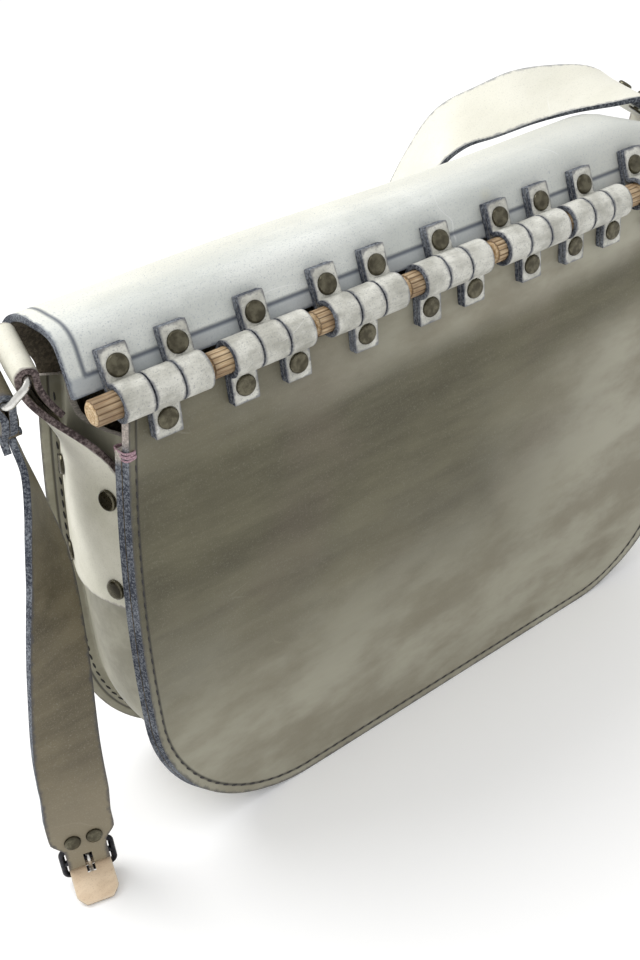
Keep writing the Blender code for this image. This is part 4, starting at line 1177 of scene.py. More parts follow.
@dataclass
class FrontPanel:
    """Front of the bag: round lower corners, curled seam margins and soft folds below the hinge."""

    pattern: Pattern
    dress: Dress
    belly: float = 2.6 * MM
    valley: float = 2.4 * MM
    valley_z: float = 214.0 * MM

    def relief(self, x: float, z: float) -> float:
        """How far the front stands forward at a point.

        Args:
            x: Place along the bag.
            z: Height.

        Returns:
            The offset in metres, forward positive.
        """
        inset = self.pattern.inset(x, z)
        fade = smoothstep(8 * MM, 60 * MM, inset) * smoothstep(0.2525, 0.215, z)
        swell = self.belly * fade * (0.75 + 0.25 * math.sin(x * 21.0 + 1.0))
        line = self.valley_z + 0.055 * x + 4 * MM * math.sin(x * 17.0)
        across = (z - line) / (15 * MM)
        reach = smoothstep(-0.13, 0.0, x) * smoothstep(0.198, 0.16, x)
        fold = self.valley * math.exp(-across * across) * reach
        second = 1.1 * MM * math.exp(-((z - 0.165 - 0.25 * x) / 0.02) ** 2)
        second *= smoothstep(10 * MM, 50 * MM, inset)
        ripple = 0.5 * MM * math.sin(x * 55.0 + z * 38.0) * math.sin(z * 47.0 - x * 9.0)
        ripple *= smoothstep(6 * MM, 40 * MM, inset)
        return swell - fold - second + ripple * smoothstep(0.2525, 0.235, z)

    def build(self) -> list[Piece]:
        """Make the panel.

        Returns:
            The piece.
        """
        heights = self.pattern.heights(self.pattern.top)
        rows: Rows = []
        for z in heights:
            rows.append([Vector((x, -self.pattern.seam_curl(x, z)[0] - self.relief(x, z), z))
                         for x in self.pattern.columns(self.pattern.half_width(z))])

        def distance(i: int, j: int) -> float:
            """Distance from the edge at a grid point."""
            point = rows[i][j]
            return min(self.pattern.inset(point.x, point.z), self.pattern.top - point.z + 30 * MM)

        panel = Sheet("front_panel_leather", rows, self.pattern.panel, self.dress, face_side=1.0,
                      distance=distance, bevel=0.6 * MM).build()
        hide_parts("front_panel")
        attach(panel, Body.BAG.value)
        return [panel]


@dataclass
class BackAndFlap:
    """Back panel and flap, one sheet over the top of the bag."""

    pattern: Pattern
    dress: Dress
    flap_width: float = 391.0 * MM
    edge: tuple[float, float] = (3.75 * MM, 265.7 * MM)
    lean: float = math.radians(16.3)
    straight: float = 19.0 * MM
    crest_z: float = 293.5 * MM
    back_r: float = 45.0 * MM
    sag: float = 15.0 * MM
    sag_from: float = 150.0 * MM
    arc_steps: int = 20
    top_steps: int = 30
    straight_steps: int = 14

    def along(self) -> Vector:
        """Way up the flap's straight front zone."""
        return Vector((0.0, math.sin(self.lean), math.cos(self.lean)))

    def forward(self) -> Vector:
        """Way out of the flap's straight front zone."""
        return Vector((0.0, -math.cos(self.lean), math.sin(self.lean)))

    def profile(self) -> tuple[list[Vector], list[float]]:
        """Middle line of the flap from the back to its front edge.

        Returns:
            The points and, for each, its share of the way for the sag.
        """
        half = self.pattern.panel / 2
        edge = Vector((0.0, *self.edge)) - self.forward() * half
        straight_end = edge + self.along() * self.straight
        radius = self.back_r - half
        crest = Vector((0.0, self.pattern.depth - radius, self.crest_z - half))
        points: list[Vector] = []
        shares: list[float] = []
        for k in range(self.arc_steps):
            turn = math.pi / 2 * k / self.arc_steps
            points.append(crest + Vector((0.0, radius * math.cos(turn), radius * (math.sin(turn) - 1.0))))
            shares.append(6.0 * k / self.arc_steps)
        pull = (crest - straight_end).length * 0.42
        handles = (crest, crest - Vector((0.0, pull, 0.0)), straight_end + self.along() * pull, straight_end)
        for k in range(self.top_steps + 1):
            t = k / self.top_steps
            weights = ((1 - t) ** 3, 3 * t * (1 - t) ** 2, 3 * t * t * (1 - t), t ** 3)
            points.append(sum((h * w for h, w in zip(handles, weights)), Vector((0.0, 0.0, 0.0))))
            shares.append(6.0 + 6.0 * t)
        for k in range(1, self.straight_steps + 1):
            points.append(straight_end.lerp(edge, k / self.straight_steps))
            shares.append(12.0 + k / self.straight_steps)
        return points, shares

    def build(self) -> list[Piece]:
        """Make the sheet.

        Returns:
            The piece.
        """
        over, shares = self.profile()
        shoulder = over[0].z
        rows: Rows = []
        reach: list[float] = []
        for z in self.pattern.heights(shoulder, 26, 36)[:-1]:
            rows.append([Vector((x, self.pattern.depth + self.pattern.seam_curl(x, z)[0]
                                 + 1.2 * MM * math.sin(x * 19.0) * math.sin(z * 12.4)
                                 * smoothstep(6 * MM, 50 * MM, self.pattern.inset(x, z)), z))
                         for x in self.pattern.columns(self.pattern.half_width(z))])
            reach.append(1.0)
        narrow = self.pattern.half_width(shoulder)
        lengths = [0.0]
        for a, b in zip(over, over[1:]):
            lengths.append(lengths[-1] + (b - a).length)
        for k, point in enumerate(over):
            widen = smoothstep(0.0, 3.0, shares[k])
            half = narrow + (self.flap_width / 2 - narrow) * widen
            row = []
            for x in self.pattern.columns(half):
                inset = max(self.pattern.curl_width - (half - abs(x)), 0.0) / self.pattern.curl_width
                curl = self.pattern.curl * (1.0 - widen) * inset ** 2
                sag = self.sag * smoothstep(self.sag_from, self.flap_width / 2, x)
                sag *= math.sin(math.pi * min(shares[k] / 12.0, 1.0))
                soft = 0.9 * MM * math.sin(x * 26.0 + 0.6) * math.sin(math.pi * min(shares[k] / 12.0, 1.0))
                row.append(Vector((x, point.y + curl, point.z - sag - soft)))
            rows.append(row)
            reach.append(lengths[-1] - lengths[k])

        first = len(rows) - len(over)

        def distance(i: int, j: int) -> float:
            """Distance from the edge at a grid point."""
            point = rows[i][j]
            side = abs(rows[i][-1].x) - abs(point.x)
            if i < first:
                return min(self.pattern.inset(point.x, point.z), side + 3 * MM)
            return min(side, reach[i])

        sheet = Sheet("back_and_flap_leather", rows, self.pattern.panel, self.dress, face_side=-1.0,
                      distance=distance, bevel=0.6 * MM).build()
        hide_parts("back_and_flap")
        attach(sheet, Body.BAG.value)
        return [sheet]


@dataclass
class Gusset:
    """Sides and bottom in one strip, with sewn margins turned outwards and a rough top edge."""

    pattern: Pattern
    dress: Dress
    back_rise: float = 9.0 * MM
    side_steps: int = 34
    corner_steps: int = 26
    bottom_steps: int = 24
    wall_steps: int = 26

    def stations(self) -> list[Seat]:
        """Points and outward normals along the seam, from the left top to the right top."""
        pattern = self.pattern
        left = []
        for k in range(self.side_steps + 1):
            z = pattern.gusset_top + (pattern.corner - pattern.gusset_top) * k / self.side_steps
            slope = 0.0
            if z > pattern.corner + MM:
                slope = (pattern.half_width(z + MM) - pattern.half_width(z - MM)) / (2 * MM)
            left.append((Vector((-pattern.half_width(z), 0.0, z)), Vector((-1.0, 0.0, -slope)).normalized()))
        centre = pattern.width / 2 - pattern.corner
        for k in range(1, self.corner_steps + 1):
            turn = math.pi / 2 * k / self.corner_steps
            normal = Vector((-math.cos(turn), 0.0, -math.sin(turn)))
            left.append((Vector((-centre, 0.0, pattern.corner)) + normal * pattern.corner, normal))
        bottom = [(Vector((-centre + 2 * centre * k / self.bottom_steps, 0.0, 0.0)), Vector((0.0, 0.0, -1.0)))
                  for k in range(1, self.bottom_steps)]
        right = [(Vector((-p.x, 0.0, p.z)), Vector((-n.x, 0.0, n.z))) for p, n in reversed(left)]
        return left + bottom + right

    def section(self, point: Vector, normal: Vector) -> list[tuple[float, float]]:
        """Middle line across the bag at one station.

        Args:
            point: Point of the seam.
            normal: Way outwards.

        Returns:
            Pairs of (outwards, to the back).
        """
        pattern = self.pattern
        front = []
        for inset in (0.0, 1.5 * MM, 3.0 * MM, 4.5 * MM, 6.0 * MM):
            place = point - normal * inset
            curl, slope = pattern.seam_curl(place.x, max(place.z, 0.0))
            angle = math.atan(slope)
            front.append((-inset + pattern.flange_y * math.sin(angle),
                          -curl + pattern.flange_y * math.cos(angle)))
        for k in range(6):
            turn = math.pi / 2 * k / 5
            front.append((-pattern.wall_inset + pattern.fold * (1.0 - math.sin(turn)),
                          pattern.flange_y + pattern.fold * (1.0 - math.cos(turn))))
        start, end = front[-1][1], pattern.depth - front[-1][1]
        wall = []
        for k in range(1, self.wall_steps):
            share = k / self.wall_steps
            wall.append((-pattern.wall_inset + pattern.bulge_at(point.z, share),
                         start + (end - start) * share))
        back = [(n, pattern.depth - y) for n, y in reversed(front)]
        return front + wall + back

    def build(self) -> list[Piece]:
        """Make the gusset.

        Returns:
            The piece.
        """
        pattern = self.pattern
        rows: Rows = []
        seed = random.Random(5)
        fuzz = [seed.uniform(-0.35, 0.35) * MM for _ in range(80)]
        for point, normal in self.stations():
            row = []
            high = smoothstep(pattern.corner, pattern.gusset_top, point.z)
            for j, (n, y) in enumerate(self.section(point, normal)):
                rise = self.back_rise * high * smoothstep(0.5 * pattern.depth, pattern.depth, y)
                rough = fuzz[j] * smoothstep(0.985, 1.0, high)
                place = point + normal * n + Vector((0.0, y, rise + rough))
                place.x *= pattern.half_width(point.z + rise) / pattern.half_width(point.z)
                row.append(place)
            rows.append(row)

        def distance(i: int, j: int) -> float:
            """Distance from the edge at a grid point."""
            row = rows[i]
            across = sum((row[k + 1] - row[k]).length for k in range(min(j, len(row) - 1 - j)))
            return min(across, pattern.gusset_top + 30 * MM - row[j].z)

        strip = Sheet("gusset_leather_strip", rows, pattern.panel, self.dress, face_side=1.0,
                      distance=distance, bevel=0.5 * MM).build()
        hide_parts("gusset")
        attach(strip, Body.BAG.value)
        return [strip]


# Closure

@dataclass
class Rivets:
    """Tubular rivets: a domed cap outside, a flat one inside and a shank between."""

    metal: Material
    cap_height: float = 1.7 * MM
    shank: float = 1.5 * MM
    back_radius: float = 4.3 * MM
    back_height: float = 1.2 * MM

    def disc(self, radius: float, height: float, at: float, round_top: float, flip: bool) -> Piece:
        """One cap: a disc whose outer face is rounded over.

        Args:
            radius: Its radius.
            height: Its height.
            at: Height of its seat.
            round_top: Width of the rounding.
            flip: Whether its dome faces down.

        Returns:
            The cap.
        """
        Bench.clear()
        middle = at + (-height / 2 if flip else height / 2)
        bpy.ops.mesh.primitive_cylinder_add(vertices=28, radius=radius, depth=height,
                                            location=(0.0, 0.0, middle))
        cap = Bench.named("cap", [self.metal])
        Bench.settle(cap)
        face = at + (-height if flip else height)
        mesh = cap.data
        weights = mesh.attributes.new("bevel_weight_edge", "FLOAT", "EDGE")
        for edge in mesh.edges:
            heights = [mesh.vertices[v].co.z for v in edge.vertices]
            weights.data[edge.index].value = 1.0 if all(abs(z - face) < 1e-6 for z in heights) else 0.0
        Bench.apply(cap, "BEVEL", width=round_top, segments=4, limit_method="WEIGHT", use_clamp_overlap=True)
        for vertex in mesh.vertices:
            if abs(vertex.co.z - face) < 1e-5:
                reach = math.hypot(vertex.co.x, vertex.co.y) / radius
                vertex.co.z -= (0.12 * MM if not flip else -0.12 * MM) * reach
        return cap

    def model(self, grip: float, radius: float) -> Piece:
        """One rivet along Z with its cap's seat at the origin.

        Args:
            grip: Thickness of the leather that it holds.
            radius: Radius of its cap.

        Returns:
            The rivet.
        """
        cap = self.disc(radius, self.cap_height, 0.0, self.cap_height * 0.82, False)
        foot = self.disc(self.back_radius, self.back_height, -grip, self.back_height * 0.6, True)
        Bench.clear()
        bpy.ops.mesh.primitive_cylinder_add(vertices=12, radius=self.shank, depth=grip + 0.4 * MM,
                                            location=(0.0, 0.0, -grip / 2))
        shank = Bench.named("shank", [self.metal])
        Bench.settle(shank)
        rivet = Bench.join([cap, foot, shank], "rivet")
        Bench.smooth(rivet, 35.0)
        return rivet

    def place(self, names: Sequence[str], seats: Sequence[Seat], grip: float,
              radius: float, body: Body) -> list[Piece]:
        """Put rivets in their seats.

        Args:
            names: The CAD nodes that they replace.
            seats: A point and the way out for each.
            grip: Thickness of the leather.
            radius: Radius of the caps.
            body: What they ride on.

        Returns:
            The rivets.
        """
        model = self.model(grip, radius)
        placed = []
        for name, seat in zip(names, seats):
            rivet = Bench.copy(model, name + "_domed", seat_matrix(seat))
            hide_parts(name)
            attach(rivet, body.value)
            placed.append(rivet)
        Bench.drop(model)
        return placed


@dataclass
class Loops:
    """Row of riveted loops: odd ones hang from the flap, even ones stand on the front."""

    pattern: Pattern
    flap: BackAndFlap
    rivets: Rivets
    dress: Dress
    count: int = 21
    per_dowel: int = 3
    width: float = 14.0 * MM
    gap: float = 0.6 * MM
    group_gap: float = 11.6 * MM
    narrow_gap: float = 3.6 * MM
    narrow_after: int = 15
    thickness: float = 2.6 * MM
    fillet: float = 2.0 * MM
    tail: float = 23.0 * MM
    rivet_at: float = 14.5 * MM
    clear: float = 0.3 * MM
    cap: float = 5.2 * MM
    bore: float = 6.3 * MM

    def left_edges(self) -> dict[int, float]:
        """Left edge of each loop."""
        edges: dict[int, float] = {}
        x = 0.0
        for number in range(1, self.count + 1):
            edges[number] = x
            x += self.width
            if number == self.count:
                break
            if number % self.per_dowel:
                x += self.gap
            elif number == self.narrow_after:
                x += self.narrow_gap
            else:
                x += self.group_gap
        return {number: edge - x / 2 for number, edge in edges.items()}

    def inner_offset(self, on_flap: bool) -> float:
        """Middle of the inner tail, measured forward from the dowel's axis."""
        seat = self.clear / 2
        if on_flap:
            edge = Vector((0.0, *self.flap.edge)) - Hinge.at()
            return edge.dot(self.flap.forward()) + seat + self.thickness / 2
        return Hinge.Y + self.pattern.panel / 2 + seat + self.thickness / 2

    def path(self, inner: float) -> list[Vector]:
        """Middle line of a loop, as (forward, along) pairs about the dowel's axis.

        Args:
            inner: Offset of the inner tail.

        Returns:
            Points from the end of the inner tail round the dowel to the end of the outer one.
        """
        radius = self.bore + self.thickness / 2
        outer = inner + self.thickness + self.clear / 2
        inner_n, outer_n = inner - self.fillet, outer + self.fillet
        inner_s = math.sqrt((radius + self.fillet) ** 2 - inner_n ** 2)
        outer_s = math.sqrt((radius + self.fillet) ** 2 - outer_n ** 2)
        start = math.atan2(inner_s, inner_n)
        end = 2.0 * math.pi + math.atan2(outer_s, outer_n)

        def arc(centre: tuple[float, float], size: float, first: float, last: float,
                steps: int) -> list[Vector]:
            """Points of an arc, both ends included."""
            return [Vector(centre) + Vector((math.cos(a), math.sin(a))) * size
                    for a in (first + (last - first) * k / steps for k in range(steps + 1))]

        line = [Vector((inner, self.tail + (inner_s - self.tail) * k / 6)) for k in range(6)]
        line += arc((inner_n, inner_s), self.fillet, 0.0, start - math.pi, 5)
        line += arc((0.0, 0.0), radius, start, end, 36)[1:-1]
        line += arc((outer_n, outer_s), self.fillet, end - math.pi, math.pi, 5)
        line += [Vector((outer, outer_s + (self.tail - outer_s) * k / 6)) for k in range(1, 7)]
        return line

    def model(self, on_flap: bool) -> Piece:
        """One loop with its rivet, in the frame of its dowel.

        Args:
            on_flap: Whether it hangs from the flap.

        Returns:
            The loop.
        """
        inner = self.inner_offset(on_flap)
        shares = (-0.5, -0.44, -0.3, -0.1, 0.1, 0.3, 0.44, 0.5)
        rows: Rows = []
        line = self.path(inner)
        for i, point in enumerate(line):
            end = min(i, len(line) - 1 - i)
            squeeze = 1.0 - (0.035 if end == 0 else 0.0)
            rows.append([Vector((s * self.width * squeeze, -point.x, point.y)) for s in shares])
        strip = Sheet("loop", rows, self.thickness, self.dress, face_side=1.0, bevel=0.45 * MM).build()
        seat = self.clear / 2
        face = inner + self.thickness / 2 + seat + self.thickness
        grip = face - inner + self.thickness / 2 + 2 * seat + self.pattern.panel + self.clear
        rivet = self.rivets.model(grip, self.cap)
        at = Vector((0.0, -face + seat / 2, self.rivet_at))
        rivet.data.transform(frame_matrix(at, Vector((1.0, 0.0, 0.0)), Vector((0.0, -1.0, 0.0))))
        return Bench.join([strip, rivet], "loop_model")

    def build(self) -> list[Piece]:
        """Make the row.

        Returns:
            All loops.
        """
        models = {on_flap: self.model(on_flap) for on_flap in (True, False)}
        seed = random.Random(11)
        made = []
        for number, edge in self.left_edges().items():
            on_flap = number % 2 == 1
            turn = Matrix.Rotation(-self.flap.lean, 4, "X") if on_flap else Matrix.Rotation(math.pi, 4, "Y")
            place = Matrix.Translation(Hinge.at(edge + self.width / 2)) @ turn
            loop = Bench.copy(models[on_flap], f"loop_{number:02d}_leather", Matrix.Identity(4))
            lean = seed.uniform(-0.012, 0.012)
            longer = seed.uniform(-0.4, 0.5) * MM
            for vertex in loop.data.vertices:
                far = smoothstep(9 * MM, self.tail, vertex.co.z)
                vertex.co.x += lean * vertex.co.z * far
                vertex.co.z += longer * smoothstep(self.tail - 3 * MM, self.tail, vertex.co.z)
            loop.data.transform(place)
            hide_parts(f"loop_{number:02d}")
            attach(loop, Body.BAG.value)
            made.append(loop)
        for model in models.values():
            Bench.drop(model)
        return made


@dataclass
class Dowels:
    """Fluted beech dowels, end to end through the loops."""

    loops: Loops
    wood: Material
    diameter: float = 12.0 * MM
    length: float = 54.3 * MM
    overhang: float = 9.0 * MM
    chamfer: float = 1.6 * MM
    flutes: int = 14
    flute_depth: float = 0.55 * MM
    clear: float = 0.3 * MM
    offsets: tuple[float, ...] = (-3.6 * MM, -1.2 * MM, 1.6 * MM, 1.7 * MM, 4.4 * MM, 4.5 * MM, 4.6 * MM)

    def model(self) -> Piece:
        """One dowel along X about the origin.

        Returns:
            The dowel.
        """
        body = self.length - self.clear
        Bench.clear()
        bpy.ops.mesh.primitive_cylinder_add(vertices=self.flutes * 8, radius=self.diameter / 2, depth=body)
        dowel = Bench.named("dowel_model", [self.wood])
        bpy.ops.object.mode_set(mode="EDIT")
        bpy.ops.mesh.select_mode(type="FACE")
        bpy.ops.mesh.select_all(action="DESELECT")
        bpy.ops.object.mode_set(mode="OBJECT")
        for polygon in dowel.data.polygons:
            polygon.select = abs(polygon.normal.z) > 0.9
        bpy.ops.object.mode_set(mode="EDIT")
        for thickness, depth in ((self.chamfer, 0.0), (0.5 * MM, 0.0), (1.5 * MM, 0.0), (1.2 * MM, 0.0)):
            bpy.ops.mesh.inset(thickness=thickness, depth=depth, use_individual=True)
        bpy.ops.object.mode_set(mode="OBJECT")
        outer = self.diameter / 2
        for vertex in dowel.data.vertices:
            radius = math.hypot(vertex.co.x, vertex.co.y)
            turn = math.atan2(vertex.co.y, vertex.co.x)
            depth = self.flute_depth * max(0.0, math.cos(turn * self.flutes)) ** 3
            if radius > outer - 0.2 * MM:
                vertex.co.z *= (body / 2 - self.chamfer) / (body / 2)
                shrink = (radius - depth) / radius
                vertex.co.x *= shrink
                vertex.co.y *= shrink
            elif radius > outer - self.chamfer - 0.2 * MM:
                vertex.co.z *= 1.0 - 0.2 * MM / (body / 2)
            elif radius < 2.9 * MM:
                vertex.co.z *= 1.0 - 0.25 * MM / (body / 2)
        dowel.data.transform(Matrix.Rotation(math.pi / 2, 4, "Y"))
        Bench.smooth(dowel, 28.0)
        return dowel

    def build(self) -> list[Piece]:
        """Make the row of dowels.

        Returns:
            All dowels.
        """
        model = self.model()
        start = self.loops.left_edges()[1] - self.overhang
        made = []
        for number in range(self.loops.count // self.loops.per_dowel):
            x = start + self.length * (number + 0.5) + self.offsets[number]
            turn = Matrix.Rotation(math.radians(11.0 * number), 4, "X")
            dowel = Bench.copy(model, f"dowel_{number + 1}_beech", Matrix.Translation(Hinge.at(x)) @ turn)
            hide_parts(f"dowel_{number + 1}")
            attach(dowel, f"dowel_{number + 1}")
            made.append(dowel)
        Bench.drop(model)
        return made


# Anchors, rings and straps

@dataclass(frozen=True)
class Fold:
    """Fold of leather round a ring at one end of the bag."""

    side: Side
    point: Vector
    axis: Vector
    drop: float
    wire: float = 3.6 * MM
    ring_length: float = 15.5 * MM
    inner_width: float = 36.0 * MM
    corner: float = 4.0 * MM

    def axes(self) -> tuple[Vector, Vector, Vector]:
        """The fold's ways across, outwards and upwards."""
        across = self.axis.normalized()
        outward = Vector((float(self.side.value), 0.0, 0.0))
        outward = (outward - across * outward.dot(across)).normalized()
        upward = outward.cross(across)
        if upward.z < 0.0:
            upward = -upward
        return across, outward, upward

    def ring_way(self) -> Vector:
        """Way from the ring's bar in this fold to its other bar."""
        _, outward, upward = self.axes()
        return outward * math.cos(self.drop) - upward * math.sin(self.drop)

    def far_bar(self) -> Vector:
        """Middle of the ring's other bar."""
        return self.point + self.ring_way() * self.ring_length


LEFT_FOLD = Fold(Side.LEFT, Vector((-204.2, 35.45, 278.75)) * MM, Vector((0.17, 0.93, 0.27)),
                 math.radians(45.0))
RIGHT_FOLD = Fold(Side.RIGHT, Vector((217.5, 45.0, 274.0)) * MM, Vector((0.14, 0.96, 0.19)),
                  math.radians(-141.0))


@dataclass
class Anchor:
    """House-shaped leather on one end of the bag, folded round its ring."""

    pattern: Pattern
    fold: Fold
    rivets: Rivets
    dress: Dress
    width: float = 58.0 * MM
    bottom: float = 148.0 * MM
    shoulder: float = 214.0 * MM
    rivet_z: tuple[float, float] = (158.0 * MM, 205.0 * MM)
    rivet_inset: float = 8.0 * MM
    cap: float = 5.2 * MM
    clear: float = 0.45 * MM
    thickness: float = 3.3 * MM
    strap_width: float = 33.0 * MM
    columns: int = 25
    wall_steps: int = 16
    neck_steps: int = 24
    fold_steps: int = 18

    def rows(self) -> Rows:
        """Middle surface: up the gusset, out to the ring, over it and back down.

        Returns:
            Rows of points.
        """
        side = float(self.fold.side.value)
        across, outward, upward = self.fold.axes()
        radius = self.fold.wire / 2 + 0.3 * MM + self.thickness / 2
        shares = [k / (self.columns - 1) - 0.5 for k in range(self.columns)]
        seat = self.clear + self.thickness / 2
        middle = self.pattern.depth / 2
        rows: Rows = []
        for k in range(self.wall_steps + 1):
            z = self.bottom + (self.shoulder - self.bottom) * k / self.wall_steps
            rows.append([Vector((side * (self.pattern.wall_x(middle + self.width * s, z) + seat),
                                 middle + self.width * s, z)) for s in shares])
        start = [self.fold.point + across * self.strap_width * s + outward * radius for s in shares]
        neck: Rows = []
        for k in range(1, self.neck_steps + 1):
            t = k / self.neck_steps
            neck.append([hermite(a, b, UP * (b - a).length, upward * (b - a).length, t)
                         for a, b in zip(rows[self.wall_steps], start)])
        rows += neck
        for k in range(1, self.fold_steps + 1):
            turn = math.pi * k / self.fold_steps
            rows.append([self.fold.point + across * self.strap_width * s
                         + (outward * math.cos(turn) + upward * math.sin(turn)) * radius for s in shares])
        normals = grid_normals(neck)
        closed = self.thickness + 0.3 * MM
        last = int(self.neck_steps * 0.5)
        for k in range(self.neck_steps - 2, last, -1):
            gap = closed + (2 * radius - closed) * smoothstep(0.4, 1.0, (k + 1) / self.neck_steps)
            row = []
            for j, p in enumerate(neck[k]):
                inward = normals[k][j]
                if inward.x * side > 0.0:
                    inward = -inward
                row.append(p + inward * gap)
            rows.append(row)
        return rows

    def seats(self) -> list[Seat]:
        """Seats of the four rivets."""
        side = float(self.fold.side.value)
        seats = []
        for z in self.rivet_z:
            for end in (-1, 1):
                y = self.pattern.depth / 2 + end * (self.width / 2 - self.rivet_inset)
                slope_y = (self.pattern.wall_x(y + MM, z) - self.pattern.wall_x(y - MM, z)) / (2 * MM)
                slope_z = (self.pattern.wall_x(y, z + MM) - self.pattern.wall_x(y, z - MM)) / (2 * MM)
                out = Vector((side, -slope_y, -slope_z)).normalized()
                on_wall = Vector((side * self.pattern.wall_x(y, z), y, z))
                seats.append((on_wall + out * (self.clear + self.thickness + 0.15 * MM), out))
        return seats

    def build(self) -> list[Piece]:
        """Make the anchor and its rivets.

        Returns:
            The pieces.
        """
        label = self.fold.side.name.lower()
        facing = -1.0 if self.fold.side is Side.LEFT else 1.0
        anchor = Sheet(f"anchor_{label}_leather", self.rows(), self.thickness, self.dress,
                       face_side=facing, bevel=0.5 * MM).build()
        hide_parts(f"anchor_{label}")
        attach(anchor, Body.BAG.value)
        names = [f"anchor_rivet_{label}_{k}" for k in range(1, 5)]
        grip = 0.15 * MM + self.thickness + self.clear + self.pattern.panel + 0.6 * MM
        return [anchor, *self.rivets.place(names, self.seats(), grip, self.cap, Body.BAG)]


@dataclass
class WireRing:
    """Rectangular ring or buckle frame bent from round wire."""

    name: str
    width: float
    length: float
    corner: float
    wire: float
    metal: Material

    def build(self, matrix: Matrix) -> Piece:
        """Make the ring.

        Args:
            matrix: Where it goes.

        Returns:
            The ring.
        """
        path = self.path()
        major, minor = len(path), 16
        Bench.clear()
        bpy.ops.mesh.primitive_torus_add(major_segments=major, minor_segments=minor,
                                         major_radius=1.0, minor_radius=0.25)
        ring = Bench.named(self.name, [self.metal])
        for vertex in ring.data.vertices:
            turn = math.atan2(vertex.co.y, vertex.co.x) % (2.0 * math.pi)
            i = round(turn / (2.0 * math.pi) * major) % major
            radial = math.hypot(vertex.co.x, vertex.co.y) - 1.0
            angle = math.atan2(vertex.co.z, radial)
            along = (path[(i + 1) % major] - path[i - 1]).normalized()
            side = along.cross(UP)
            vertex.co = path[i] + (side * math.cos(angle) + UP * math.sin(angle)) * self.wire / 2
        ring.data.transform(matrix)
        Bench.smooth(ring, 60.0)
        return ring

    def path(self) -> list[Vector]:
        """Closed rounded rectangle about the origin."""
        points: list[Vector] = []
        for quarter, (sx, sy) in enumerate(((1, 1), (-1, 1), (-1, -1), (1, -1))):
            centre = Vector((sx * (self.width / 2 - self.corner), sy * (self.length / 2 - self.corner), 0.0))
            for step in range(9):
                turn = math.pi / 2 * (quarter + step / 8)
                points.append(centre + Vector((math.cos(turn), math.sin(turn), 0.0)) * self.corner)
        return points


@dataclass
class Rings:
    """Nickel rings that carry the straps."""

    nickel: Material

    def build(self) -> list[Piece]:
        """Make both rings.

        Returns:
            The rings.
        """
        made = []
        carried = ((LEFT_FOLD, "ring_left", Body.LEFT_RING), (RIGHT_FOLD, "ring_right", Body.BAG))
        for fold, name, body in carried:
            across, _, _ = fold.axes()
            along = fold.ring_way()
            middle = fold.point + along * fold.ring_length / 2
            matrix = frame_matrix(middle, across, across.cross(along))
            ring = WireRing(name + "_nickel", fold.inner_width + fold.wire, fold.ring_length, fold.corner,
                            fold.wire, self.nickel).build(matrix)
            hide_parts(name)
            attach(ring, body.value)
            made.append(ring)
        return made


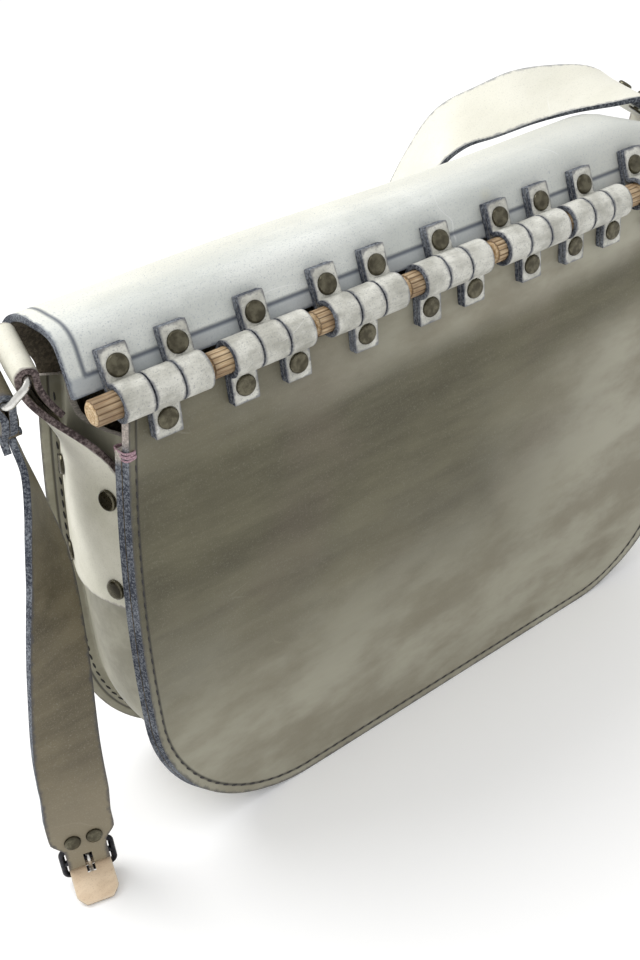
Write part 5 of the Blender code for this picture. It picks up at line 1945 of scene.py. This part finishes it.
@dataclass
class Strap:
    """What both straps share: a fold round a ring and a run along a route."""

    pattern: Pattern
    fold: Fold
    rivets: Rivets
    dress: Dress
    width: float = 33.0 * MM
    thickness: float = 3.3 * MM
    clear: float = 0.3 * MM
    lead: float = 24.0 * MM
    rivet_at: float = 16.0 * MM
    cap: float = 4.2 * MM
    returned: float = 36.0 * MM
    shares: tuple[float, ...] = (-0.5, -0.46, -0.38, -0.25, -0.12, 0.0, 0.12, 0.25, 0.38, 0.46, 0.5)
    per_span: int = 9

    def fold_radius(self) -> float:
        """Radius of the middle of the fold."""
        return self.fold.wire / 2 + self.clear + self.thickness / 2

    def start(self, aim: Vector, main_side: Vector) -> tuple[Vector, Vector, Vector]:
        """Where the main layer leaves the ring.

        Args:
            aim: Rough way of the strap.
            main_side: Side of the bar on which the main layer lies.

        Returns:
            The first point, the side and the way.
        """
        across, _, _ = self.fold.axes()
        way = (aim - across * aim.dot(across)).normalized()
        side = across.cross(way)
        if side.dot(main_side) < 0.0:
            side = -side
        return self.fold.far_bar() + side * self.fold_radius(), side, way

    def band(self, centres: Sequence[Vector], acrosses: Sequence[Vector], widths: Sequence[float]) -> Rows:
        """Rows across a band, square to its run.

        Args:
            centres: Its middle line.
            acrosses: The way across at each.
            widths: The width at each.

        Returns:
            Rows of points.
        """
        rows: Rows = []
        last = len(centres) - 1
        for i, centre in enumerate(centres):
            along = (centres[min(i + 1, last)] - centres[max(i - 1, 0)]).normalized()
            across = (acrosses[i] - along * acrosses[i].dot(along)).normalized()
            rows.append([centre + across * widths[i] * s for s in self.shares])
        return rows

    def run(self, start: Vector, way: Vector, route: Sequence[tuple[Colour, Colour]]) -> Rows:
        """Rows of the main layer from the fold along a route.

        Args:
            start: First point.
            way: First way.
            route: Points in millimetres with the way across.

        Returns:
            Rows of points.
        """
        across, _, _ = self.fold.axes()
        centres = [start, start + way * self.lead / 2, start + way * self.lead]
        hints = [across] * 3
        for point, hint in route:
            centres.append(Vector(point) * MM)
            hints.append(Vector(hint).normalized())
        curve = spline(centres, self.per_span)
        return self.band(curve, spline(hints, self.per_span), [self.width] * len(curve))

    def lengths(self, rows: Rows) -> list[float]:
        """Distances along the middle of rows."""
        middle = len(rows[0]) // 2
        lengths = [0.0]
        for a, b in zip(rows, rows[1:]):
            lengths.append(lengths[-1] + (b[middle] - a[middle]).length)
        return lengths

    def second_layer(self, rows: Rows, towards: Vector, reach: float) -> Rows:
        """Rows of the strap's end, turned back beside the main layer.

        Args:
            rows: Main layer.
            towards: Side on which it lies.
            reach: Its length.

        Returns:
            Rows of points, from the fold.
        """
        normals = grid_normals(rows)
        lengths = self.lengths(rows)
        middle = len(rows[0]) // 2
        closed = self.thickness + self.clear
        wide = 2 * self.fold_radius()
        layer: Rows = []
        for i, row in enumerate(rows):
            if lengths[i] > reach:
                break
            gap = wide + (closed - wide) * smoothstep(0.0, 10 * MM, lengths[i])
            sign = 1.0 if normals[i][middle].dot(towards) > 0.0 else -1.0
            layer.append([p + n * gap * sign for p, n in zip(row, normals[i])])
        return layer

    def folded(self, run: Rows, side: Vector, way: Vector) -> Rows:
        """Rows of the strap's end and of its fold round the ring, up to the main layer.

        Args:
            run: Main layer.
            side: Side of the bar on which the main layer lies.
            way: Way in which it leaves the bar.

        Returns:
            Rows of points.
        """
        end = list(reversed(self.second_layer(run, -side, self.returned)))
        across = self.fold.axes()[0]
        return end + self.arc(self.fold.far_bar(), across, -side, -way, self.fold_radius(), self.width)

    def arc(self, point: Vector, across: Vector, first: Vector, over: Vector, radius: float,
            width: float, steps: int = 14) -> Rows:
        """Rows of a half turn round a bar.

        Args:
            point: Middle of the bar.
            across: Way of the bar.
            first: Side where the turn starts.
            over: Way that it passes.
            radius: Its radius.
            width: Width of the leather.
            steps: Number of steps.

        Returns:
            Rows of points.
        """
        rows: Rows = []
        for k in range(1, steps):
            turn = math.pi * k / steps
            middle = point + (first * math.cos(turn) + over * math.sin(turn)) * radius
            rows.append([middle + across * width * s for s in self.shares])
        return rows

    def ring_seats(self, rows: Rows, side: Vector, face: int) -> list[Seat]:
        """Two rivet seats through both layers of the fold.

        Args:
            rows: Main layer.
            side: Outer side of the main layer.
            face: 1 for caps on the main layer, -1 for the other side.

        Returns:
            The seats.
        """
        lengths = self.lengths(rows)
        i = min(range(len(rows)), key=lambda k: abs(lengths[k] - self.rivet_at))
        middle = len(rows[0]) // 2
        across = (rows[i][-1] - rows[i][0]).normalized()
        way = (rows[i + 1][middle] - rows[i - 1][middle]).normalized()
        out = way.cross(across).normalized()
        if out.dot(side) < 0.0:
            out = -out
        depth = self.thickness / 2 + 0.15 * MM
        if face < 0:
            depth += self.thickness + self.clear
            out = -out
        return [(rows[i][middle] + across * self.width * s + out * depth, out) for s in (-0.24, 0.24)]


@dataclass
class ShortStrap(Strap):
    """Short strap from the left ring down to the buckle."""

    route: tuple[tuple[Colour, Colour], ...] = (
        ((-210.5, 41.5, 226.0), (0.30, 0.95, 0.06)),
        ((-212.0, 34.5, 204.0), (0.56, 0.83, -0.02)),
        ((-216.5, 25.0, 176.0), (0.83, 0.56, 0.0)),
        ((-227.0, 15.0, 132.0), (0.98, 0.19, 0.0)),
        ((-234.0, 12.5, 90.0), (1.0, -0.09, 0.0)),
        ((-236.0, 12.5, 58.0), (0.97, -0.24, 0.0)),
    )
    aim: tuple[float, float, float] = (-0.04, 0.25, -0.96)
    buckle_at: tuple[float, float, float] = (-237.0 * MM, 15.25 * MM, 13.5 * MM)
    turn: float = math.radians(-16.0)
    skived: float = 2.2 * MM
    neck: float = 21.0 * MM
    wire: float = 3.0 * MM
    return_up: float = 60.0 * MM
    rivet_up: float = 17.0 * MM
    rivet_spacing: float = 11.0 * MM
    rivet_front: float = 2.5 * MM
    rivet_leather: float = 3.0 * MM
    slot: float = 4.4 * MM
    slot_up: float = 6.5 * MM
    slot_through: float = 24.0 * MM
    stack: tuple[tuple[float, ...], ...] = (
        (30.0, 2.3, 1.3, 33.0, 3.3),
        (26.0, 2.3, 1.45, 33.0, 3.3),
        (22.0, 2.3, 1.6, 33.0, 3.3),
        (19.0, 2.4, 2.0, 32.4, 3.2),
        (17.0, 2.5, 2.3, 30.0, 3.0),
        (14.5, 2.7, 2.6, 25.8, 2.7),
        (12.0, 2.9, 2.9, 21.6, 2.4),
        (9.0, 2.9, 2.9, 21.2, 2.3),
        (6.5, 2.9, 2.9, 21.0, 2.2),
        (3.0, 2.9, 2.9, 21.0, 2.2),
        (0.0, 2.9, 2.9, 21.0, 2.2),
    )

    def buckle_axes(self) -> tuple[Vector, Vector]:
        """Ways across and behind the buckle."""
        across = Vector((math.cos(self.turn), math.sin(self.turn), 0.0))
        back = Vector((-math.sin(self.turn), math.cos(self.turn), 0.0))
        return across, back

    def build(self) -> list[Piece]:
        """Make the strap and its rivets.

        Returns:
            The pieces.
        """
        start, side, way = self.start(Vector(self.aim), Vector((1.0, 0.0, 0.0)))
        b_across, b_back = self.buckle_axes()
        at = Vector(self.buckle_at)
        run = self.run(start, way, self.route)
        main = list(run)
        depth = [self.thickness] * len(main)
        for up, front, _, width, thick in self.stack:
            centre = at - b_back * front * MM + UP * up * MM
            main.append([centre + b_across * width * MM * s for s in self.shares])
            depth.append(thick * MM)
        radius = self.wire / 2 + self.clear + self.skived / 2
        main += self.arc(at, b_across, -b_back, -UP, radius, self.neck)
        depth += [self.skived] * (len(main) - len(depth))
        for up, _, back, width, thick in reversed(self.stack):
            centre = at + b_back * back * MM + UP * up * MM
            main.append([centre + b_across * width * MM * s for s in self.shares])
            depth.append(thick * MM)
        for row in reversed(run):
            if row[0].z < at.z + self.return_up:
                main.append([p + b_back * (self.thickness + self.clear) for p in row])
                depth.append(self.thickness)
        rows = self.folded(run, side, way) + main
        depths = [self.thickness] * (len(rows) - len(main)) + depth
        strap = Sheet("short_strap_leather", rows, self.thickness, self.dress, face_side=-1.0,
                      depths=depths, bevel=0.45 * MM).build()
        Bench.clear()
        bpy.ops.mesh.primitive_cube_add(size=1.0)
        tool = Bench.named("slot_tool", [])
        high = self.slot_up + radius + self.skived
        tool.data.transform(Matrix.Diagonal((self.slot, self.slot_through, high, 1.0)))
        tool.data.transform(frame_matrix(at + UP * (self.slot_up - high / 2), b_across, UP))
        Bench.cut(strap, [tool])
        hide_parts("short_strap")
        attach(strap, Body.BUCKLE_STRAP.value)
        made = [strap]

        tongue_r = radius + self.skived / 2 + self.clear + 1.0 * MM
        behind = tongue_r + self.clear
        front, thick = self.rivet_front, self.rivet_leather
        seats = [(at - b_back * (front + thick / 2 + 0.15 * MM) + UP * self.rivet_up
                  + b_across * self.rivet_spacing * s, -b_back) for s in (-0.5, 0.5)]
        grip = front + thick / 2 + 0.15 * MM + behind + 1.0 * MM + self.clear
        made += self.rivets.place(["buckle_rivet_1", "buckle_rivet_2"], seats, grip, self.cap,
                                  Body.BUCKLE_STRAP)
        made += self.rivets.place(["short_strap_rivet_1", "short_strap_rivet_2"],
                                  self.ring_seats(run, side, -1),
                                  2 * self.thickness + 5 * self.clear, self.cap, Body.BUCKLE_STRAP)
        return made


@dataclass
class Buckle:
    """Wire buckle with its prong and the tan tongue threaded through it."""

    strap: ShortStrap
    dress: Dress
    iron: Material
    nickel: Material
    width: float = 28.5 * MM
    reach: float = 8.6 * MM
    prong: float = 2.2 * MM
    tongue_width: float = 21.5 * MM
    tongue_thickness: float = 2.0 * MM
    tongue_front: float = 19.5 * MM
    chamfer: float = 4.0 * MM
    slot: float = 4.4 * MM
    slot_high: float = 10.0 * MM
    slot_through: float = 6.0 * MM
    slot_down: float = 7.5 * MM

    def frame(self) -> Piece:
        """Wire frame with its middle bar.

        Returns:
            The frame.
        """
        across, _ = self.strap.buckle_axes()
        at = Vector(self.strap.buckle_at)
        wire = self.strap.wire
        matrix = frame_matrix(at, across, across.cross(-UP))
        ring = WireRing("buckle_ring", self.width - wire, 2 * self.reach, 3.0 * MM, wire,
                        self.iron).build(matrix)
        Bench.clear()
        bpy.ops.mesh.primitive_cylinder_add(vertices=20, radius=wire / 2, depth=self.width - wire)
        bar = Bench.named("bar", [self.iron])
        bar.data.transform(frame_matrix(at, UP, across))
        Bench.smooth(bar, 50.0)
        frame = Bench.join([ring, bar], "buckle_frame_iron")
        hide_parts("buckle_frame")
        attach(frame, Body.BUCKLE_STRAP.value)
        return frame

    def pin(self) -> Piece:
        """Prong whose eye turns on the middle bar.

        Returns:
            The prong.
        """
        across, back = self.strap.buckle_axes()
        at = Vector(self.strap.buckle_at)
        lift = self.strap.wire / 2 + self.strap.clear + self.prong / 2
        drop = self.reach + self.strap.wire / 2
        points = []
        for k in range(19):
            turn = math.pi * 1.5 * k / 18
            points.append(back * lift * math.sin(turn) - UP * lift * math.cos(turn))
        for share in (0.25, 0.45, 0.7, 0.9, 1.0):
            points.append(-back * lift - UP * drop * share)
        steps, sides = len(points), 12
        Bench.clear()
        bpy.ops.mesh.primitive_cylinder_add(vertices=sides, radius=1.0, depth=1.0, end_fill_type="NGON")
        pin = Bench.named("buckle_prong_nickel", [self.nickel])
        bpy.ops.object.mode_set(mode="EDIT")
        bpy.ops.mesh.select_all(action="DESELECT")
        bpy.ops.object.mode_set(mode="OBJECT")
        for edge in pin.data.edges:
            low, high = (pin.data.vertices[v].co.z for v in edge.vertices)
            edge.select = abs(low - high) > 0.5
        bpy.ops.object.mode_set(mode="EDIT")
        bpy.ops.mesh.select_mode(type="EDGE")
        bpy.ops.mesh.subdivide(number_cuts=steps - 2)
        bpy.ops.object.mode_set(mode="OBJECT")
        for vertex in pin.data.vertices:
            i = min(max(round((vertex.co.z + 0.5) * (steps - 1)), 0), steps - 1)
            along = (points[min(i + 1, steps - 1)] - points[max(i - 1, 0)]).normalized()
            side = along.cross(across)
            angle = math.atan2(vertex.co.y, vertex.co.x)
            size = self.prong / 2 * (0.55 if i in (0, steps - 1) else 0.97)
            vertex.co = at + points[i] + (across * math.cos(angle) + side * math.sin(angle)) * size
        Bench.pick(pin)
        bpy.ops.object.mode_set(mode="EDIT")
        bpy.ops.mesh.select_all(action="SELECT")
        bpy.ops.mesh.normals_make_consistent(inside=False)
        bpy.ops.object.mode_set(mode="OBJECT")
        Bench.smooth(pin, 50.0)
        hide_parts("buckle_prong")
        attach(pin, Body.BUCKLE_STRAP.value)
        return pin

    def tongue(self) -> Piece:
        """Tan tongue behind the strap and out over the buckle's end bar.

        Returns:
            The tongue.
        """
        across, back = self.strap.buckle_axes()
        at = Vector(self.strap.buckle_at)
        fold = self.strap.wire / 2 + self.strap.clear + self.strap.skived / 2
        radius = fold + self.strap.skived / 2 + self.strap.clear + self.tongue_thickness / 2
        behind = radius + self.strap.clear
        centres = [at + back * behind + UP * up * MM for up in (26.0, 22.0, 18.0, 14.0, 10.0, 7.0)]
        for k in range(15):
            turn = math.pi / 2 * k / 14 * 1.02
            centres.append(at + back * radius * math.cos(turn) - UP * radius * math.sin(turn))
        tip = at - back * self.tongue_front
        tip.z = self.tongue_thickness / 2
        lip = centres[-1]
        shares = [k / 13 for k in range(1, 14)]
        for t in shares:
            centres.append(lip.lerp(tip, t) + UP * 1.6 * MM * math.sin(math.pi * t))
        widths = [self.tongue_width] * len(centres)
        length = (tip - lip).length
        for k, t in enumerate(reversed(shares)):
            left = (1.0 - t) * length
            if left < self.chamfer:
                widths[-1 - k] = self.tongue_width - 2 * (self.chamfer - left)
        rows = self.strap.band(centres, [across] * len(centres), widths)
        tongue = Sheet("buckle_tongue_tan", rows, self.tongue_thickness, self.dress, face_side=-1.0,
                       bevel=0.35 * MM).build()
        Bench.clear()
        bpy.ops.mesh.primitive_cube_add(size=1.0)
        tool = Bench.named("tongue_slot_tool", [])
        tool.data.transform(Matrix.Diagonal((self.slot, self.slot_through, self.slot_high, 1.0)))
        place = at - UP * self.slot_down - back * (self.strap.wire / 2 + self.strap.clear + self.prong / 2)
        tool.data.transform(frame_matrix(place, across, UP))
        Bench.cut(tongue, [tool])
        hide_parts("buckle_tongue")
        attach(tongue, Body.BUCKLE_STRAP.value)
        return tongue

    def build(self) -> list[Piece]:
        """Make the buckle.

        Returns:
            The pieces.
        """
        return [self.frame(), self.pin(), self.tongue()]


@dataclass
class LongStrap(Strap):
    """Long strap from the right ring over the bag and down behind it."""

    route: tuple[tuple[Colour, Colour], ...] = (
        ((173.0, 49.0, 303.0), (0.24, 0.88, 0.40)),
        ((156.5, 59.5, 304.3), (0.29, 0.77, 0.57)),
        ((135.5, 72.6, 302.4), (0.12, 0.70, 0.70)),
        ((121.6, 87.4, 295.5), (0.12, 0.75, 0.65)),
        ((104.3, 99.5, 288.2), (0.14, 0.88, 0.46)),
        ((88.0, 107.0, 272.0), (0.16, 0.96, 0.10)),
        ((72.0, 112.0, 246.0), (0.10, 0.99, 0.05)),
        ((48.0, 115.0, 206.0), (0.0, 1.0, 0.0)),
        ((30.0, 115.0, 152.0), (0.0, 1.0, 0.0)),
        ((15.0, 115.0, 92.0), (0.0, 1.0, 0.0)),
        ((-6.0, 115.0, 38.0), (0.0, 1.0, 0.0)),
        ((-34.0, 115.0, 10.5), (0.0, 1.0, 0.0)),
        ((-66.0, 115.0, 2.4), (0.0, 1.0, 0.0)),
        ((-100.0, 115.0, 1.9), (0.0, 1.0, 0.0)),
        ((-140.0, 115.0, 1.9), (0.0, 1.0, 0.0)),
    )
    aim: tuple[float, float, float] = (-0.83, 0.12, 0.53)
    returned: float = 22.0 * MM
    hole: float = 2.2 * MM
    holes: int = 5
    pitch: float = 17.0 * MM
    from_end: float = 24.0 * MM

    def build(self) -> list[Piece]:
        """Make the strap and its rivets.

        Returns:
            The pieces.
        """
        start, side, way = self.start(Vector(self.aim), UP)
        run = self.run(start, way, self.route)
        rows = self.folded(run, side, way) + run
        strap = Sheet("long_strap_leather", rows, self.thickness, self.dress, face_side=1.0,
                      bevel=0.45 * MM).build()
        middle = len(run[0]) // 2
        end = run[-1][middle]
        along = (run[-2][middle] - end).normalized()
        tools = []
        for k in range(self.holes):
            Bench.clear()
            bpy.ops.mesh.primitive_cylinder_add(vertices=20, radius=self.hole, depth=12 * MM,
                                                location=end + along * (self.from_end + self.pitch * k))
            tool = Bench.named("hole_tool", [])
            Bench.settle(tool)
            tools.append(tool)
        Bench.cut(strap, tools)
        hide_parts("long_strap")
        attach(strap, Body.BAG.value)
        made = [strap]
        made += self.rivets.place(["long_strap_rivet_1", "long_strap_rivet_2"], self.ring_seats(run, side, 1),
                                  2 * self.thickness + 5 * self.clear, self.cap, Body.BAG)
        return made


# Thread

@dataclass
class Stitching:
    """Hand stitches along both seams and the plum thread at the front corner."""

    pattern: Pattern
    front: FrontPanel
    black: Material
    plum: Material
    inset: float = 5.0 * MM
    pitch: float = 6.4 * MM
    length: float = 4.8 * MM
    thickness: float = 1.1 * MM
    seam_top: float = 234.0 * MM
    proud: float = 0.35 * MM
    dip: float = 0.25 * MM
    wrap_z: float = 236.6 * MM
    wrap_half: tuple[float, float] = (2.9 * MM, 5.2 * MM)
    wrap_turns: int = 4
    wrap_pitch: float = 1.05 * MM
    wrap_thread: float = 0.55 * MM

    def model(self) -> Piece:
        """One stitch along X.

        Returns:
            The stitch.
        """
        Bench.clear()
        bpy.ops.mesh.primitive_uv_sphere_add(segments=8, ring_count=6, radius=0.5)
        stitch = Bench.named("stitch_model", [self.black])
        stitch.data.transform(Matrix.Rotation(math.pi / 2, 4, "Y"))
        stitch.data.transform(Matrix.Diagonal((self.length, self.thickness, self.thickness * 0.8, 1.0)))
        for vertex in stitch.data.vertices:
            reach = abs(vertex.co.x) / (self.length / 2)
            vertex.co.z -= self.dip * reach ** 2
        Bench.smooth(stitch, 80.0)
        return stitch

    def seam(self, name: str, height: Callable[[float, float], float], facing: float) -> Piece:
        """One row of stitches.

        Args:
            name: Name of the row.
            height: Place in Y of the leather's surface at a point.
            facing: -1 for stitches seen from the front and 1 from the back.

        Returns:
            The row.
        """
        model = self.model()
        stitches = []
        seed = random.Random(3)
        for number, (point, along, _) in enumerate(self.pattern.seam(self.inset, self.seam_top, self.pitch)):
            out = Vector((0.0, facing, 0.0))
            seat = Vector((point.x, height(point.x, point.z), point.z))
            slant = Matrix.Rotation(math.radians(7.0 + seed.uniform(-3.0, 3.0)), 4, "Z")
            place = frame_matrix(seat, along, out) @ slant
            stitches.append(Bench.copy(model, f"{name}_{number}", place))
        Bench.drop(model)
        row = Bench.join(stitches, name)
        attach(row, Body.BAG.value)
        return row

    def wrap(self, name: str, centre: Vector) -> Piece:
        """Turns of thread round the corner of two layers.

        Args:
            name: Name of the piece.
            centre: Its middle.

        Returns:
            The piece.
        """
        loops = []
        fine = 0.12
        for k in range(self.wrap_turns):
            Bench.clear()
            bpy.ops.mesh.primitive_torus_add(major_segments=28, minor_segments=8,
                                             major_radius=1.0, minor_radius=fine)
            loop = Bench.named(f"{name}_{k}", [self.plum])
            for vertex in loop.data.vertices:
                radial = math.hypot(vertex.co.x, vertex.co.y)
                turn = math.atan2(vertex.co.y, vertex.co.x)
                out = Vector((math.copysign(abs(math.cos(turn)) ** 0.5, math.cos(turn)) * self.wrap_half[0],
                              math.copysign(abs(math.sin(turn)) ** 0.5, math.sin(turn)) * self.wrap_half[1], 0.0))
                way = out.normalized()
                place = out + way * (radial - 1.0) / fine * self.wrap_thread
                tilt = 0.12 * out.x * (1 if k % 2 else -1)
                rise = vertex.co.z / fine * self.wrap_thread + tilt - self.wrap_pitch * k
                vertex.co = centre + place + UP * rise
            Bench.smooth(loop, 80.0)
            loops.append(loop)
        piece = Bench.join(loops, name)
        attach(piece, Body.BAG.value)
        return piece

    def build(self) -> list[Piece]:
        """Make all rows of stitches.

        Returns:
            The pieces.
        """
        pattern = self.pattern
        half = pattern.panel / 2

        def front_face(x: float, z: float) -> float:
            """Outer face of the front panel."""
            return -pattern.seam_curl(x, z)[0] - self.front.relief(x, z) - half

        def back_face(x: float, z: float) -> float:
            """Outer face of the back panel."""
            return pattern.depth + pattern.seam_curl(x, z)[0] + half

        def back_flange(x: float, z: float) -> float:
            """Face of the gusset's back margin that looks forward."""
            return pattern.depth + pattern.seam_curl(x, z)[0] - pattern.flange_y - half - self.proud

        def front_flange(x: float, z: float) -> float:
            """Face of the gusset's front margin that looks back."""
            return -pattern.seam_curl(x, z)[0] + pattern.flange_y + half + self.proud

        made = [self.seam("stitches_front", front_face, -1.0), self.seam("stitches_back", back_face, 1.0),
                self.seam("stitches_back_margin", back_flange, -1.0),
                self.seam("stitches_front_margin", front_flange, 1.0)]
        for side in (-1, 1):
            x = side * (pattern.half_width(self.wrap_z - 1.1 * MM) - 1.9 * MM)
            name = "corner_thread_left" if side < 0 else "corner_thread_right"
            made.append(self.wrap(name, Vector((x, 0.9 * MM, self.wrap_z))))
        return made


# Studio

@dataclass(frozen=True)
class Viewpoint:
    """Camera of the photograph."""

    place: tuple[float, float, float] = (-365.45 * MM, -413.09 * MM, 490.68 * MM)
    yaw: float = math.radians(34.566)
    pitch: float = math.radians(32.045)
    roll: float = math.radians(-5.845)
    focal: float = 1203.58
    height: float = 960.0

    def build(self) -> Piece:
        """Make the camera.

        Returns:
            The camera.
        """
        level = math.cos(self.pitch)
        forward = Vector((math.sin(self.yaw) * level, math.cos(self.yaw) * level, -math.sin(self.pitch)))
        right = Vector((math.cos(self.yaw), -math.sin(self.yaw), 0.0))
        upward = right.cross(forward)
        rolled = right * math.cos(self.roll) + upward * math.sin(self.roll)
        data = bpy.data.cameras.new("camera")
        data.sensor_fit = "VERTICAL"
        data.sensor_height = 36.0
        data.lens = 36.0 * self.focal / self.height
        data.clip_start = 0.01
        data.clip_end = 50.0
        camera = bpy.data.objects.new("camera", data)
        bpy.context.scene.collection.objects.link(camera)
        camera.matrix_world = frame_matrix(Vector(self.place), rolled, -forward)
        bpy.context.scene.camera = camera
        return camera


@dataclass
class Studio:
    """Pale floor, soft key from behind the left shoulder of the bag and an even sky."""

    sky: float = 0.90
    key_power: float = 20.0
    key_size: float = 1.3
    key_place: tuple[float, float, float] = (-0.75, 0.95, 1.75)
    key_target: tuple[float, float, float] = (0.0, 0.03, 0.18)
    floor_colour: Colour = (0.80, 0.80, 0.80)
    seen_colour: Colour = (0.98, 0.98, 0.98)
    floor_lift: float = 0.085

    def floor(self) -> Piece:
        """Floor that shows white to the camera and keeps the shadow.

        Returns:
            The floor.
        """
        Bench.clear()
        bpy.ops.mesh.primitive_plane_add(size=24.0, location=(0.0, 0.0, -0.0002))
        material, nodes, shader = open_material("Pale floor")
        shader.inputs["Roughness"].default_value = 0.9
        shader.inputs["Specular IOR Level"].default_value = 0.1
        rays = nodes.add("ShaderNodeLightPath")
        seen = nodes.math("MAXIMUM", rays.outputs["Is Camera Ray"], rays.outputs["Is Glossy Ray"])
        seen = nodes.math("MAXIMUM", seen, rays.outputs["Is Transmission Ray"])
        nodes.link(nodes.mix(seen, self.floor_colour, self.seen_colour), shader.inputs["Base Color"])
        glow = nodes.add("ShaderNodeEmission")
        nodes.link(nodes.times(seen, self.floor_lift), glow.inputs["Strength"])
        both = nodes.add("ShaderNodeAddShader")
        nodes.link(shader.outputs["BSDF"], both.inputs[0])
        nodes.link(glow.outputs["Emission"], both.inputs[1])
        output = nodes.tree.nodes["Material Output"]
        nodes.link(both.outputs["Shader"], output.inputs["Surface"])
        floor = Bench.named("floor", [material])
        Bench.settle(floor)
        return floor

    def world(self) -> None:
        """Even white sky, plain white to the camera."""
        world = bpy.data.worlds.new("sky")
        bpy.context.scene.world = world
        world.use_nodes = True
        nodes = Nodes(world.node_tree)
        background = world.node_tree.nodes["Background"]
        background.inputs["Color"].default_value = (1.0, 1.0, 1.0, 1.0)
        rays = nodes.add("ShaderNodeLightPath")
        seen = nodes.math("MAXIMUM", rays.outputs["Is Camera Ray"], rays.outputs["Is Transmission Ray"])
        strength = nodes.ease(seen, 0.0, 1.0, self.sky, 1.0)
        nodes.link(strength, background.inputs["Strength"])

    def lamp(self, name: str, place: Vector, target: Vector, size: float, power: float) -> Piece:
        """One soft lamp.

        Args:
            name: Its name.
            place: Where it stands.
            target: What it points at.
            size: Its width.
            power: Its power in watts.

        Returns:
            The lamp.
        """
        data = bpy.data.lights.new(name, "AREA")
        data.shape = "DISK"
        data.size = size
        data.energy = power
        lamp = bpy.data.objects.new(name, data)
        bpy.context.scene.collection.objects.link(lamp)
        lamp.location = place
        lamp.rotation_euler = (target - place).to_track_quat("-Z", "Y").to_euler()
        return lamp

    def build(self) -> None:
        """Set up floor, sky and lamps."""
        self.floor()
        self.world()
        self.lamp("key", Vector(self.key_place), Vector(self.key_target), self.key_size, self.key_power)
        bpy.context.scene.view_settings.view_transform = "Standard"


def main() -> None:
    """Build the bag, piece by piece, and its studio."""
    logging.basicConfig(level=logging.INFO, format="%(name)s: %(message)s")
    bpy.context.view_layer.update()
    Viewpoint().build()
    Studio().build()
    wardrobe = Wardrobe.make()
    pattern = Pattern()
    rivets = Rivets(wardrobe.brass)
    front = FrontPanel(pattern, wardrobe.front)
    flap = BackAndFlap(pattern, wardrobe.flap)
    loops = Loops(pattern, flap, rivets, wardrobe.loop)
    short = ShortStrap(pattern, LEFT_FOLD, rivets, wardrobe.short_strap)
    parts = (
        front,
        flap,
        Gusset(pattern, wardrobe.gusset),
        loops,
        Dowels(loops, wardrobe.beech),
        Anchor(pattern, LEFT_FOLD, rivets, wardrobe.anchor),
        Anchor(pattern, RIGHT_FOLD, rivets, wardrobe.anchor),
        Rings(wardrobe.nickel),
        short,
        Buckle(short, wardrobe.tongue, wardrobe.iron, wardrobe.nickel),
        LongStrap(pattern, RIGHT_FOLD, rivets, wardrobe.long_strap),
        Stitching(pattern, front, wardrobe.black_thread, wardrobe.pink_thread),
    )
    for part in parts:
        for piece in part.build():
            LOG.info("%s: %d faces", piece.name, len(piece.data.polygons))
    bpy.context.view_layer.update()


if __name__ == "__main__":
    main()
